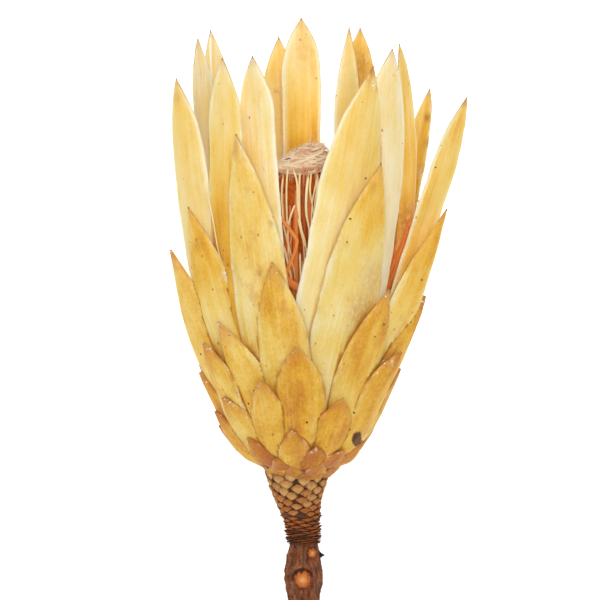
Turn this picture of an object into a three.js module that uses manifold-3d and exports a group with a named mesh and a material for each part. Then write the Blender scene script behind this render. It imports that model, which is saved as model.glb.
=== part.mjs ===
// A dried protea flower head on its cut stem, lying on a flat surface with its open end raised.
// Millimetres, +Z up. The flower is first built in its own frame and then laid down:
// x is across, y runs up the flower's axis from the top of the neck, z is the side that faces up.
// An azimuth of 0 degrees is the side that faces up, 90 is the +X side and 180 is underneath.
import * as THREE from "three";
import Module from "manifold-3d";

// How the flower lies: it rests on the rim of the cut stem and on the tips of two outer bracts.
const LIE_TILT = 17.69;
const LIE_SHIFT = [-5.35, -46.04, 20.28];

// Outline of the cup of bracts: height above the neck, radius.
const CUP = [
  [-1, 8.6], [0, 9.6], [2, 12.6], [4, 16], [7, 19.2], [12, 22.6], [18, 25.6], [26, 28.4],
  [34, 31], [40, 32.6], [48, 34.6], [66, 36.8], [90, 38.6], [136, 40.4],
];

// What the bracts of one whorl have in common. inset: how far the whorl lies inside the cup's outline.
// root: height of its roots. taper: length of the pointed end over the width. waist: root over full width.
const WHORLS = {
  scale: { inset: 0.2, root: 1, taper: 0.9, waist: 0.9, thick: 1.1, dip: 1.2, steps: 4 },
  ovate: { inset: 1.4, root: 2, taper: 1, waist: 0.6, thick: 1.1, dip: 0.9, steps: 6 },
  short: { inset: 3, root: 5, taper: 1.7, waist: 0.6, thick: 1.1, dip: 0.6, steps: 7 },
  middle: { inset: 4.6, root: 7, taper: 2.3, waist: 0.6, thick: 1, dip: 0, steps: 8 },
  long: { inset: 6.2, root: 6, taper: 1.9, waist: 0.5, thick: 1, dip: 0, steps: 9 },
};

// Each bract: azimuth at the root, azimuth at the tip, height of the tip, radius of the tip, width,
// and what sets it apart from its whorl. roll turns its face towards the upper side.
const BRACTS = {
  long: [
    [-61, -76, 117.7, 38, 13, { roll: 30, inset: 5.4, flare: 1.2 }],
    [-122, -122, 131, 36.7, 12.5, { inset: 4.4, point: 1.8, flare: 2.6 }],
    [-142, -136, 134.5, 39.6, 13.5, {}],
    [-43, -43, 122.7, 33.5, 13, { roll: 6, inset: 6 }],
    [-20, -30, 123.3, 28, 12, { inset: 9.4 }],
    [-172, -170, 133, 38, 13, { inset: 5.6 }],
    [178, 179, 138.7, 35.5, 12.6, { inset: 7.6, taper: 1.35 }],
    [152, 154, 135.6, 34.5, 9.6, { inset: 8, taper: 3, point: 1.7 }],
    [142, 152, 135.6, 39.5, 14, { inset: 5.8 }],
    [4, 38, 120.2, 35, 20.5, { waist: 0.6, bend: 0.9 }],
    [58, 53, 125.7, 34.5, 14, { inset: 6.8, roll: 6, flare: 2.6 }],
    [92, 90, 128.5, 29.7, 12.5, { inset: 4.4, roll: 22, flare: 3 }],
    [108, 116, 116.1, 44.2, 12.5, { roll: -14, flare: 1.4 }],
    [64, 70, 111.6, 52.5, 11, { roll: 28, inset: 4.6, flare: 1.25, taper: 2.7 }],
  ],
  middle: [
    [-9, -31, 100.1, 36.5, 17.5, { taper: 2.5 }],
    [-41, -62, 79.1, 37.5, 16.5, { roll: 20 }],
    [62, 68, 78.5, 46.9, 13, { roll: 20, taper: 3.2, flare: 1.4 }],
    [12, 39, 91.7, 37.5, 20, { taper: 1.9, bend: 0.8 }],
    [96, 94, 76, 36, 15, {}],
    [132, 128, 84, 37, 16, {}],
    [166, 168, 90, 37, 16, {}],
    [-158, -162, 85, 37.5, 16, {}],
    [-124, -128, 79, 37, 16, {}],
    [-92, -94, 74, 36, 15, {}],
  ],
  short: [
    [-5, -14, 62.7, 34.5, 15.8, {}],
    [40, 46, 54.5, 36.5, 17.6, { taper: 1.5 }],
    [-26, -45, 45.1, 34.5, 15, {}],
    [-58, -73, 66.5, 40.4, 15.5, { roll: 24, taper: 2.8 }],
    [72, 78, 52.8, 37.8, 12, { roll: 12, taper: 2.4 }],
    [110, 112, 54, 36.5, 15, {}],
    [146, 150, 58, 45.3, 15, { flare: 2 }],
    [180, 178, 62, 36, 15, {}],
    [-146, -150, 58, 45.3, 15, { flare: 2 }],
    [-108, -110, 55, 37, 15, {}],
  ],
  ovate: [
    [4, -2, 37.9, 32.6, 15.6, {}],
    [-24, -23, 28.2, 30, 11.5, {}],
    [25, 24, 23.1, 28.5, 12, {}],
    [-55, -60, 38.9, 33.2, 13, {}],
    [50, 67, 36.2, 32.8, 14.5, {}],
    [-44, -56, 22.6, 28, 11, {}],
    [98, 98, 31, 30.5, 13, {}],
    [124, 126, 36, 31.5, 14, {}],
    [152, 152, 33, 31, 14, {}],
    [178, 176, 37, 31, 14.5, {}],
    [-156, -157, 34, 31, 14, {}],
    [-130, -130, 36.5, 31.5, 14, {}],
    [-104, -103, 32, 31, 13.5, {}],
    [-80, -84, 30, 30.2, 12, {}],
  ],
  scale: [
    [-4, -7, 15.4, 24.5, 10.5, {}],
    [-70, -80, 18.4, 25.8, 11, {}],
    [-38, -46, 10.7, 22, 10, {}],
    [16, 14, 8.2, 20.2, 9, {}],
    [70, 75, 9.2, 19.8, 10, {}],
    [40, 43, 6.8, 19.5, 9, {}],
    [-25, -31, 4.5, 17.2, 8, {}],
    [98, 98, 14, 23.8, 11, {}],
    [126, 126, 16.5, 25.4, 11.5, {}],
    [154, 156, 14.5, 24.6, 11, {}],
    [-176, -176, 17, 25.4, 11.5, {}],
    [-148, -147, 15, 24.8, 11, {}],
    [-120, -120, 16.5, 25.4, 11.5, {}],
    [-94, -94, 14, 24.4, 11, {}],
  ],
};
const BLADE_RADIUS = 16; // how a long bract is channelled near its tip
const MARGIN_SHARE = 0.66; // thickness at a bract's margin over that at its midrib
const TIP_HALF_WIDTH = 0.45;
const TOWARDS_TIP = 1.35; // over 1 sets a bract's sections closer together near its tip
// Shares of a bract's length: where it leaves the cup, where its root has risen to its whorl,
// where it has reached its full width and where it has its full roll.
const FREE_FROM = 0.35;
const RISEN_BY = 0.3;
const WIDE_BY = 0.4;
const ROLLED_BY = 0.6;

// Bowl-shaped floor that carries the bracts: outer profile, then the rim and the inner floor.
const BOWL = [
  [0, 0.2], [9.4, 0.2], [10.9, 2], [14, 4], [17, 7], [20.4, 12], [21.4, 14], [16, 14], [12.4, 8], [0, 8],
];
const BOWL_SIDES = 28;

// Scaly neck under the cup: height, radius, sideways drift of its centre.
const NECK = [
  [-0.2, 9.3, -1], [-2.4, 8.9, -0.8], [-8.4, 7, -0.6], [-14.4, 5.5, 0.5], [-21, 4.8, 1.1], [-24.2, 4.4, 1.2],
];
// Its scales: rows, scales in a row, how much the rows crowd together downwards, how far a scale's tip
// stands off the next row, how far the notch between two tips lies back, half a zigzag over the pitch.
const SCALES = { rows: 13, round: 14, crowding: 1.35, lip: 0.75, notch: 0.3, zigzag: 0.45, undercut: 0.06 };

// Woody stem down to its cut end.
const STEM = [
  [-24.5, 4.3, 1.2], [-27, 5, 1.2], [-29.4, 5.6, 1.1], [-33, 5.4, 1],
  [-38.4, 4.7, 1.1], [-45, 4.5, 1.4], [-52, 4.7, 1.6],
];
const STEM_SIDES = 20;
// Scars of side shoots and a spur that stand proud of the bark, each on a wider foot sunk into it.
const BOSS_SIDES = 12;
const BOSS_FOOT = 1.15;
const BOSS_SUNK = 2;
const SIDE_SCAR = { height: -31.8, azimuth: 2, radius: 2.5, proud: 0.7, end: 0.9 };
const SMALL_SCAR = { height: -26.3, azimuth: 40, radius: 1.2, proud: 0.5, end: 0.85 };
const SPUR = { height: -25.7, azimuth: 84, radius: 1, proud: 1.6, end: 0.3 };

// Bundle of florets: height, radius of its core; strips and styles stand in turn round it.
const CORE = [[10, 5.2], [30, 6.3], [60, 7.8], [84, 8.8], [89.7, 7.6]];
const FLORET_BASE = { bottom: 8.3, top: 9.8, radius: 8 };
const SLOTS = 14;
const STRIP = { width: 1.2, proud: 1.1, sunk: 0.6, from: 14, top: 80, topSpread: 7 };
const STYLE = { radius: 0.42, off: 0.92, sides: 6, top: 89.6, topSpread: 6 };
const STYLE_RING = { bottom: 10.2, top: 11.6, gap: 0.4, width: 1.1 };
const PETAL_RIBBON = { width: 1.4, thick: 0.7 };
const RIBBON_STEPS = 1.6; // sections of a ribbon for each point of its path
const CURLED_RIBBON = [
  [0, 18, 5], [0, 27, 9.6], [1, 40, 12.6], [0.9, 54.6, 13.2],
  [-3.9, 58.5, 13.6], [-0.6, 69.6, 13.6], [-5.4, 75.6, 12.8],
];
const SIDE_RIBBONS = [
  [[7.3, 9, 1.6], [15, 22, 5], [23, 45, 7], [27, 62, 8], [30.3, 78, 8.2]],
  [[7.3, 9, -1.2], [14, 24, 1], [21, 44, 3.5], [24.5, 58, 4.5], [26, 68, 4.5]],
];

// Wool over the florets' tops: a lumpy cap, its outline as shares of its height and of its radius.
const WOOL = { bottom: 90, top: 100.5, radius: 9.6, drift: 1.6, sides: 22, lump: 0.1, ridge: 0.03 };
const WOOL_OUTLINE = [
  [0, 0.82], [0.16, 1], [0.36, 0.98], [0.58, 0.91], [0.78, 0.75], [0.92, 0.54], [1, 0.3],
];
// Flat locks that lift off the cap at two of its heights. Their path: turn round the axis, distance
// out from the cap, rise.
const LOCK = { count: 16, width: 1.7, thick: 0.8, shares: [0.25, 0.6], spread: 12, vary: 1.6 };
const LOCK_PATH = [[0, -4, 0], [10, -0.2, 0.8], [26, 0.9, 2], [38, 1.7, 0]];

const SEEDS = { florets: 11, styles: 5, wool: 23 };
const LOOKS = {
  stem: { color: 0x7d4b3a, roughness: 0.9 },
  neck: { color: 0x9c6a3c, roughness: 0.8 },
  involucre: { color: 0xe0b062, roughness: 0.6 },
  florets: { color: 0xb4551f, roughness: 0.8 },
  styles: { color: 0xf3e0b4, roughness: 0.6 },
  wool: { color: 0xdcc0a6, roughness: 1 },
};

const UP_THE_AXIS = new THREE.Vector3(0, 1, 0);
const FRONT = new THREE.Vector3(0, 0, 1);
const ACROSS = new THREE.Vector3(1, 0, 0);

const wasm = await Module();
wasm.setup();

function seeded(seed) {
  let state = seed;
  return () => {
    state = (state * 1664525 + 1013904223) % 4294967296;
    return state / 4294967296;
  };
}

// Value in a table's column at a height, between the rows that lie either side of it.
function along(table, height, column = 1) {
  const rows = [...table].sort((a, b) => a[0] - b[0]);
  const above = rows.findIndex((row) => height <= row[0]);
  if (above === 0) return rows[0][column];
  if (above < 0) return rows.at(-1)[column];
  const [low, high] = [rows[above - 1], rows[above]];
  return THREE.MathUtils.mapLinear(height, low[0], high[0], low[column], high[column]);
}

function ease(t) {
  return THREE.MathUtils.smoothstep(t, 0, 1);
}

function around(azimuth, radius, height) {
  const a = THREE.MathUtils.degToRad(azimuth);
  return new THREE.Vector3(radius * Math.sin(a), height, radius * Math.cos(a));
}

// A closed solid from points and triangles, its faces turned outwards.
function solid(points, triangles) {
  const vertProperties = new Float32Array(points.flatMap((p) => [p.x, p.y, p.z]));
  let signed = 0;
  for (const [a, b, c] of triangles) {
    signed += points[a].dot(new THREE.Vector3().crossVectors(points[b], points[c]));
  }
  const turned = signed < 0 ? triangles.map(([a, b, c]) => [a, c, b]) : triangles;
  const triVerts = new Uint32Array(turned.flat());
  return new wasm.Manifold(new wasm.Mesh({ numProp: 3, vertProperties, triVerts }));
}

// Joins rings of equally many points into a closed solid. A folded ring is a blade's section, one
// face and then the other face backwards, and is capped across the fold.
function skin(rings, folded = false) {
  const sides = rings[0].length;
  const triangles = [];
  for (let i = 0; i + 1 < rings.length; i++) {
    for (let k = 0; k < sides; k++) {
      const next = (k + 1) % sides;
      const [a, b] = [i * sides + k, i * sides + next];
      triangles.push([a, b, b + sides], [a, b + sides, a + sides]);
    }
  }
  const cap = (start, flip) => {
    const add = (a, b, c) => {
      triangles.push(flip ? [start + a, start + b, start + c] : [start + a, start + c, start + b]);
    };
    if (!folded) {
      for (let k = 1; k + 1 < sides; k++) add(0, k, k + 1);
      return;
    }
    for (let k = 0; k + 1 < sides / 2; k++) {
      add(k, k + 1, sides - 2 - k);
      add(k, sides - 2 - k, sides - 1 - k);
    }
  };
  cap(0, false);
  cap((rings.length - 1) * sides, true);
  return solid(rings.flat(), triangles);
}

// One bract: a pointed blade that rises from the bowl, hugs the cup and then goes its own way.
function bract(whorl, [rootAzimuth, tipAzimuth, tipHeight, tipRadius, width, own]) {
  const p = { bend: 1, flare: 1.6, roll: 0, point: 2, ...whorl, ...own };
  const middle = [];
  const shares = [];
  for (let i = 0; i <= p.steps; i++) {
    const v = 1 - (1 - i / p.steps) ** TOWARDS_TIP;
    const height = p.root + (tipHeight - p.root) * v;
    const free = Math.max(0, (v - FREE_FROM) / (1 - FREE_FROM)) ** p.flare;
    const atTip = along(CUP, tipHeight) - p.inset;
    const dip = p.dip * (1 - ease(v / RISEN_BY));
    const radius = along(CUP, height) - p.inset - dip + (tipRadius - atTip) * free;
    const azimuth = rootAzimuth + (tipAzimuth - rootAzimuth) * v ** p.bend;
    middle.push({ at: around(azimuth, radius, height), azimuth, radius });
    shares.push(v);
  }
  const lengths = [0];
  for (let i = 1; i < middle.length; i++) {
    lengths.push(lengths[i - 1] + middle[i].at.distanceTo(middle[i - 1].at));
  }
  const rings = middle.map(({ at, azimuth, radius }, i) => {
    const v = shares[i];
    const ahead = middle[Math.min(i + 1, middle.length - 1)].at;
    const forward = ahead.clone().sub(middle[Math.max(i - 1, 0)].at).normalize();
    const out = around(azimuth, 1, 0);
    out.addScaledVector(forward, -out.dot(forward)).normalize();
    const side = new THREE.Vector3().crossVectors(forward, out);
    const roll = THREE.MathUtils.degToRad(p.roll) * Math.sign(tipAzimuth) * ease(v / ROLLED_BY);
    out.applyAxisAngle(forward, -roll);
    side.applyAxisAngle(forward, -roll);
    const fromTip = Math.min(1, (lengths.at(-1) - lengths[i]) / (p.taper * width));
    const pointed = 1 - (1 - fromTip) ** p.point;
    const narrowed = p.waist + (1 - p.waist) * ease(v / WIDE_BY);
    const half = Math.max(TIP_HALF_WIDTH, (width / 2) * pointed * narrowed);
    const bendRadius = THREE.MathUtils.lerp(radius, BLADE_RADIUS, ease(v));
    return bladeSection(at, side, out, half, bendRadius, p.thick);
  });
  return skin(rings, true);
}

// Section of a bract: an arc of the given half width, thinner at its margins.
function bladeSection(at, side, out, half, bendRadius, thick) {
  const outer = [];
  const inner = [];
  for (const w of [-1, 0, 1]) {
    const turn = (half * w) / bendRadius;
    const face = out.clone().multiplyScalar(Math.cos(turn)).addScaledVector(side, Math.sin(turn));
    const on = at.clone().addScaledVector(out, -bendRadius).addScaledVector(face, bendRadius);
    const halfThick = (thick / 2) * (1 - (1 - MARGIN_SHARE) * w * w);
    outer.push(on.clone().addScaledVector(face, halfThick));
    inner.unshift(on.clone().addScaledVector(face, -halfThick));
  }
  return [...outer, ...inner];
}

// A round body about the flower's axis from a closed profile of radius and height.
function turned(profile, sides) {
  const points = profile.map(([r, y]) => new THREE.Vector2(r, y));
  return fromGeometry(new THREE.LatheGeometry(points, sides));
}

function fromGeometry(geometry) {
  const { position } = (geometry.index ? geometry.toNonIndexed() : geometry).attributes;
  const points = [];
  const found = new Map();
  const corners = [];
  for (let i = 0; i < position.count; i++) {
    const p = new THREE.Vector3().fromBufferAttribute(position, i);
    const key = [p.x, p.y, p.z].map((c) => Math.round(c * 1e4)).join();
    if (!found.has(key)) {
      found.set(key, points.length);
      points.push(p);
    }
    corners.push(found.get(key));
  }
  const triangles = [];
  for (let i = 0; i < corners.length; i += 3) {
    const [a, b, c] = corners.slice(i, i + 3);
    if (a !== b && b !== c && c !== a) triangles.push([a, b, c]);
  }
  return solid(points, triangles);
}

// Rows of upturned scales: each row swells to its zigzag lip and drops back under it.
function neck() {
  const { rows, round, crowding, lip, notch, zigzag, undercut } = SCALES;
  const [top, bottom] = [NECK[0][0], NECK.at(-1)[0]];
  const heightOf = (row) => bottom + (top - bottom) * (row / rows) ** crowding;
  const ring = (row, isLip, rise) => {
    const isEnd = row === 0 || row === rows;
    const pitch = heightOf(Math.min(row + 1, rows)) - heightOf(Math.min(row, rows - 1));
    return Array.from({ length: 2 * round }, (_, k) => {
      const isTip = (k + row) % 2 === 0;
      const lift = isEnd ? 0 : (isTip ? zigzag : -zigzag) * pitch;
      const height = heightOf(row) + lift + rise;
      const back = isLip ? (isTip ? 0 : notch) : lip;
      const point = around((k * 180) / round, along(NECK, height) - back, height);
      point.x += along(NECK, height, 2);
      return point;
    });
  };
  const rings = [ring(0, true, 0)];
  for (let row = 1; row < rows; row++) rings.push(ring(row, true, 0), ring(row, false, undercut));
  rings.push(ring(rows, true, 0));
  return skin(rings);
}

// Points evenly round a centre, in the plane of two unit vectors.
function circle(centre, first, second, radius, sides) {
  return Array.from({ length: sides }, (_, k) => {
    const a = (2 * Math.PI * k) / sides;
    const p = centre.clone().addScaledVector(first, radius * Math.cos(a));
    return p.addScaledVector(second, radius * Math.sin(a));
  });
}

// A low round boss or spur on the stem, its outer face smaller than its foot.
function boss({ height, azimuth, radius, proud, end }) {
  const centre = new THREE.Vector3(along(STEM, height, 2), height, 0);
  const out = around(azimuth, 1, 0);
  const side = new THREE.Vector3().crossVectors(UP_THE_AXIS, out);
  const reach = along(STEM, height);
  const foot = centre.clone().addScaledVector(out, reach - BOSS_SUNK);
  const face = centre.clone().addScaledVector(out, reach + proud);
  return skin([
    circle(foot, side, UP_THE_AXIS, radius * BOSS_FOOT, BOSS_SIDES),
    circle(face, side, UP_THE_AXIS, radius * end, BOSS_SIDES),
  ]);
}

function stem() {
  const rings = STEM.map(([height, radius, drift]) =>
    circle(new THREE.Vector3(drift, height, 0), FRONT, ACROSS, radius, STEM_SIDES),
  );
  return [SIDE_SCAR, SMALL_SCAR, SPUR].reduce((body, one) => body.add(boss(one)), skin(rings));
}

function involucre() {
  let body = turned(BOWL, BOWL_SIDES);
  for (const [name, list] of Object.entries(BRACTS)) {
    for (const one of list) body = body.add(bract(WHORLS[name], one));
  }
  return body;
}

// A bar of rectangular section along points, its broad side facing away from the axis.
function ribbon(points, width, thick) {
  const curve = new THREE.CatmullRomCurve3(points.map((p) => new THREE.Vector3(...p)));
  const steps = Math.round(points.length * RIBBON_STEPS);
  const rings = [];
  for (let i = 0; i <= steps; i++) {
    const at = curve.getPoint(i / steps);
    const forward = curve.getTangent(i / steps);
    const out = new THREE.Vector3(at.x, 0, at.z).normalize();
    out.addScaledVector(forward, -out.dot(forward)).normalize();
    const side = new THREE.Vector3().crossVectors(forward, out);
    const corner = (w, t) => {
      return at.clone().addScaledVector(side, (w * width) / 2).addScaledVector(out, (t * thick) / 2);
    };
    rings.push([corner(-1, 1), corner(1, 1), corner(1, -1), corner(-1, -1)]);
  }
  return skin(rings);
}

// A strip of dried floret standing against the core in its own slot.
function strip(slot, top) {
  const path = [0, 1 / 3, 2 / 3, 1].map((share) => {
    const height = STRIP.from + (top - STRIP.from) * share;
    const radius = along(CORE, height) + (STRIP.proud - STRIP.sunk) / 2;
    return around((slot * 360) / SLOTS, radius, height).toArray();
  });
  return ribbon(path, STRIP.width, STRIP.proud + STRIP.sunk);
}

function florets() {
  const random = seeded(SEEDS.florets);
  const base = FLORET_BASE;
  const profile = [[0, base.bottom], [base.radius, base.bottom], [base.radius, base.top]];
  profile.push(...CORE.map(([height, radius]) => [radius, height]), [0, CORE.at(-1)[0]]);
  let body = turned(profile, 2 * SLOTS);
  for (let slot = 0; slot < SLOTS; slot++) {
    body = body.add(strip(slot, STRIP.top + STRIP.topSpread * random()));
  }
  for (const path of [CURLED_RIBBON, ...SIDE_RIBBONS]) {
    body = body.add(ribbon(path, PETAL_RIBBON.width, PETAL_RIBBON.thick));
  }
  return body;
}

// Cream rods between the strips, joined by a ring round the foot of the core.
function styles() {
  const random = seeded(SEEDS.styles);
  const { bottom, top, gap, width } = STYLE_RING;
  const inner = along(CORE, top) + gap;
  const outer = inner + width;
  const section = [[inner, bottom], [outer, bottom], [outer, top], [inner, top], [inner, bottom]];
  let body = turned(section, 2 * SLOTS);
  const heights = [(bottom + top) / 2, ...CORE.slice(1, -1).map(([height]) => height)];
  for (let slot = 0; slot < SLOTS; slot++) {
    const end = STYLE.top - STYLE.topSpread * random();
    const rings = [...heights.filter((height) => height < end), end].map((height) => {
      const centre = around(((slot + 0.5) * 360) / SLOTS, along(CORE, height) + STYLE.off, height);
      return circle(centre, FRONT, ACROSS, STYLE.radius, STYLE.sides);
    });
    body = body.add(skin(rings));
  }
  return body;
}

function wool() {
  const random = seeded(SEEDS.wool);
  const rise = WOOL.top - WOOL.bottom;
  const rings = WOOL_OUTLINE.map(([share, reach], row) =>
    Array.from({ length: WOOL.sides }, (_, k) => {
      const height = WOOL.bottom + rise * share + (row ? WOOL.lump * rise * (random() - 0.5) : 0);
      const swell = 1 + WOOL.lump * (random() - 0.5) + (k % 2 ? WOOL.ridge : -WOOL.ridge);
      const p = around((k * 360) / WOOL.sides, WOOL.radius * reach * swell, height);
      p.x += WOOL.drift * share;
      return p;
    }),
  );
  let body = skin(rings);
  for (let i = 0; i < LOCK.count; i++) {
    const share = LOCK.shares[i % LOCK.shares.length];
    body = body.add(lock((i * 360) / LOCK.count + LOCK.spread * random(), share, random));
  }
  return body;
}

function lock(azimuth, share, random) {
  const foot = WOOL.bottom + (WOOL.top - WOOL.bottom) * share;
  const reach = WOOL.radius * along(WOOL_OUTLINE, share);
  const path = LOCK_PATH.map(([turn, beyond, rise], i) => {
    const height = foot + rise + (i ? LOCK.vary * (random() - 0.5) : 0);
    const p = around(azimuth + turn, reach + beyond, height);
    return [p.x + WOOL.drift * share, p.y, p.z];
  });
  return ribbon(path, LOCK.width, LOCK.thick);
}

// The body without the small hollows that crossing blades seal.
function filled(body) {
  return body.decompose().reduce((best, one) => (one.volume() > best.volume() ? one : best));
}

function piece(name, body) {
  const { vertProperties, triVerts } = filled(body).getMesh();
  const geometry = new THREE.BufferGeometry();
  geometry.setAttribute("position", new THREE.BufferAttribute(vertProperties, 3));
  geometry.setIndex(new THREE.BufferAttribute(triVerts, 1));
  geometry.computeVertexNormals();
  const material = new THREE.MeshStandardMaterial({ ...LOOKS[name], metalness: 0 });
  const mesh = new THREE.Mesh(geometry, material);
  mesh.name = name;
  return mesh;
}

const flower = new THREE.Group();
for (const make of [stem, neck, involucre, florets, styles, wool]) {
  flower.add(piece(make.name, make()));
}
flower.rotation.x = THREE.MathUtils.degToRad(LIE_TILT);
flower.position.set(...LIE_SHIFT);

const part = new THREE.Group();
part.add(flower);
export default part;
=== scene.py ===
"""A dried protea flower head on its cut stem, lying on a pale surface and seen from above.

Shapes are worked out in millimetres in the flower's own frame and then laid down: x is across, y runs
up the flower's axis from the top of the neck, and z is the side that faces up. An azimuth of 0 degrees
is the side that faces up, 90 is the +X side and 180 is underneath.
"""
import math

import bmesh
import bpy
import numpy as np
from mathutils import Matrix, Vector, noise


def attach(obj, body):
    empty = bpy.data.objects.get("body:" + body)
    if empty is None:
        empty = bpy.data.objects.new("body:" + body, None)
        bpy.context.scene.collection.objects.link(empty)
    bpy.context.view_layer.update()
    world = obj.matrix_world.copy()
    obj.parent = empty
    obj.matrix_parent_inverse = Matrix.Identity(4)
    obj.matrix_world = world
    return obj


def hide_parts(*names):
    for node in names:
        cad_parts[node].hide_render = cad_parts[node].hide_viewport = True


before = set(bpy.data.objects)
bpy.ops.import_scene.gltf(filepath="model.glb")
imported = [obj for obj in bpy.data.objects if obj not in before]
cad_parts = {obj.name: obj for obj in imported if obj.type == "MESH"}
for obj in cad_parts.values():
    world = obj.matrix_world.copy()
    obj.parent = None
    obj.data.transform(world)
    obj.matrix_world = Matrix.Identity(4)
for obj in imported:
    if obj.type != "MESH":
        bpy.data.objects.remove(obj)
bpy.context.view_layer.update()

MM = 0.001
LIE_TILT = math.radians(17.69)
LIE_SHIFT = Vector((-5.35, -46.04, 20.28)) * MM
LAID_DOWN = Matrix.Translation(LIE_SHIFT) @ Matrix.Rotation(LIE_TILT, 4, "X") @ Matrix.Scale(MM, 4)

# The picture: its width at the flower's axis, the height on the axis that it centres on, the distance
# of the camera, which looks down square to the axis, and the width of its sensor in millimetres.
VIEW = {"width": 180.0, "height": 51.6, "distance": 1200.0, "sensor": 36.0}

# Outline of the cup of bracts: height above the neck, radius.
CUP = [
    (-1, 8.6), (0, 9.6), (2, 12.6), (4, 16), (7, 19.2), (12, 22.6), (18, 25.6), (26, 28.4),
    (34, 31), (40, 32.6), (48, 34.6), (66, 36.8), (90, 38.6), (136, 40.4),
]

# What the bracts of one whorl have in common. inset: how far the whorl lies inside the cup's outline.
# root: height of its roots. taper: length of the pointed end over the width. waist: root over full width.
# thick: its thickness. dip: how far its roots are sunk towards the axis. curl: how far its margins
# stand off the cup.
WHORLS = {
    "collar": {
        "inset": -0.5, "root": -1.4, "taper": 0.8, "waist": 0.7, "thick": 0.35, "dip": 0.3, "curl": -0.2,
    },
    "scale": {"inset": 0.2, "root": 1, "taper": 0.9, "waist": 0.9, "thick": 0.6, "dip": 1.2, "curl": -0.5},
    "ovate": {"inset": 1.4, "root": 2, "taper": 1, "waist": 0.6, "thick": 0.6, "dip": 0.9, "curl": -0.7},
    "short": {"inset": 3, "root": 5, "taper": 1.7, "waist": 0.6, "thick": 0.6, "dip": 0.6, "curl": -0.7},
    "middle": {"inset": 4.6, "root": 7, "taper": 2.3, "waist": 0.6, "thick": 0.6, "dip": 0, "curl": -0.3},
    "long": {"inset": 6.2, "root": 6, "taper": 1.9, "waist": 0.5, "thick": 0.6, "dip": 0},
}
# What a bract has unless its whorl or its own row says otherwise. bend: how late it turns from its root's
# azimuth to its tip's. flare: how late it leaves the cup. roll: how far it is turned about its midrib, in
# degrees. point: how blunt its end is. wide: the share of its length where it is fully wide. fade: the
# share where its tip's colour begins. hem: which margin is bleached, 1 right, -1 left, 2 both. fold: where
# a crease with a painted highlight along it runs, from -1 to 1 across it, or 9 for none.
PLAIN_BRACT = {
    "bend": 1, "flare": 1.6, "roll": 0, "point": 2, "curl": 0, "fade": 0.4, "hem": 0, "fold": 9, "wide": 0.4,
}

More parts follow.
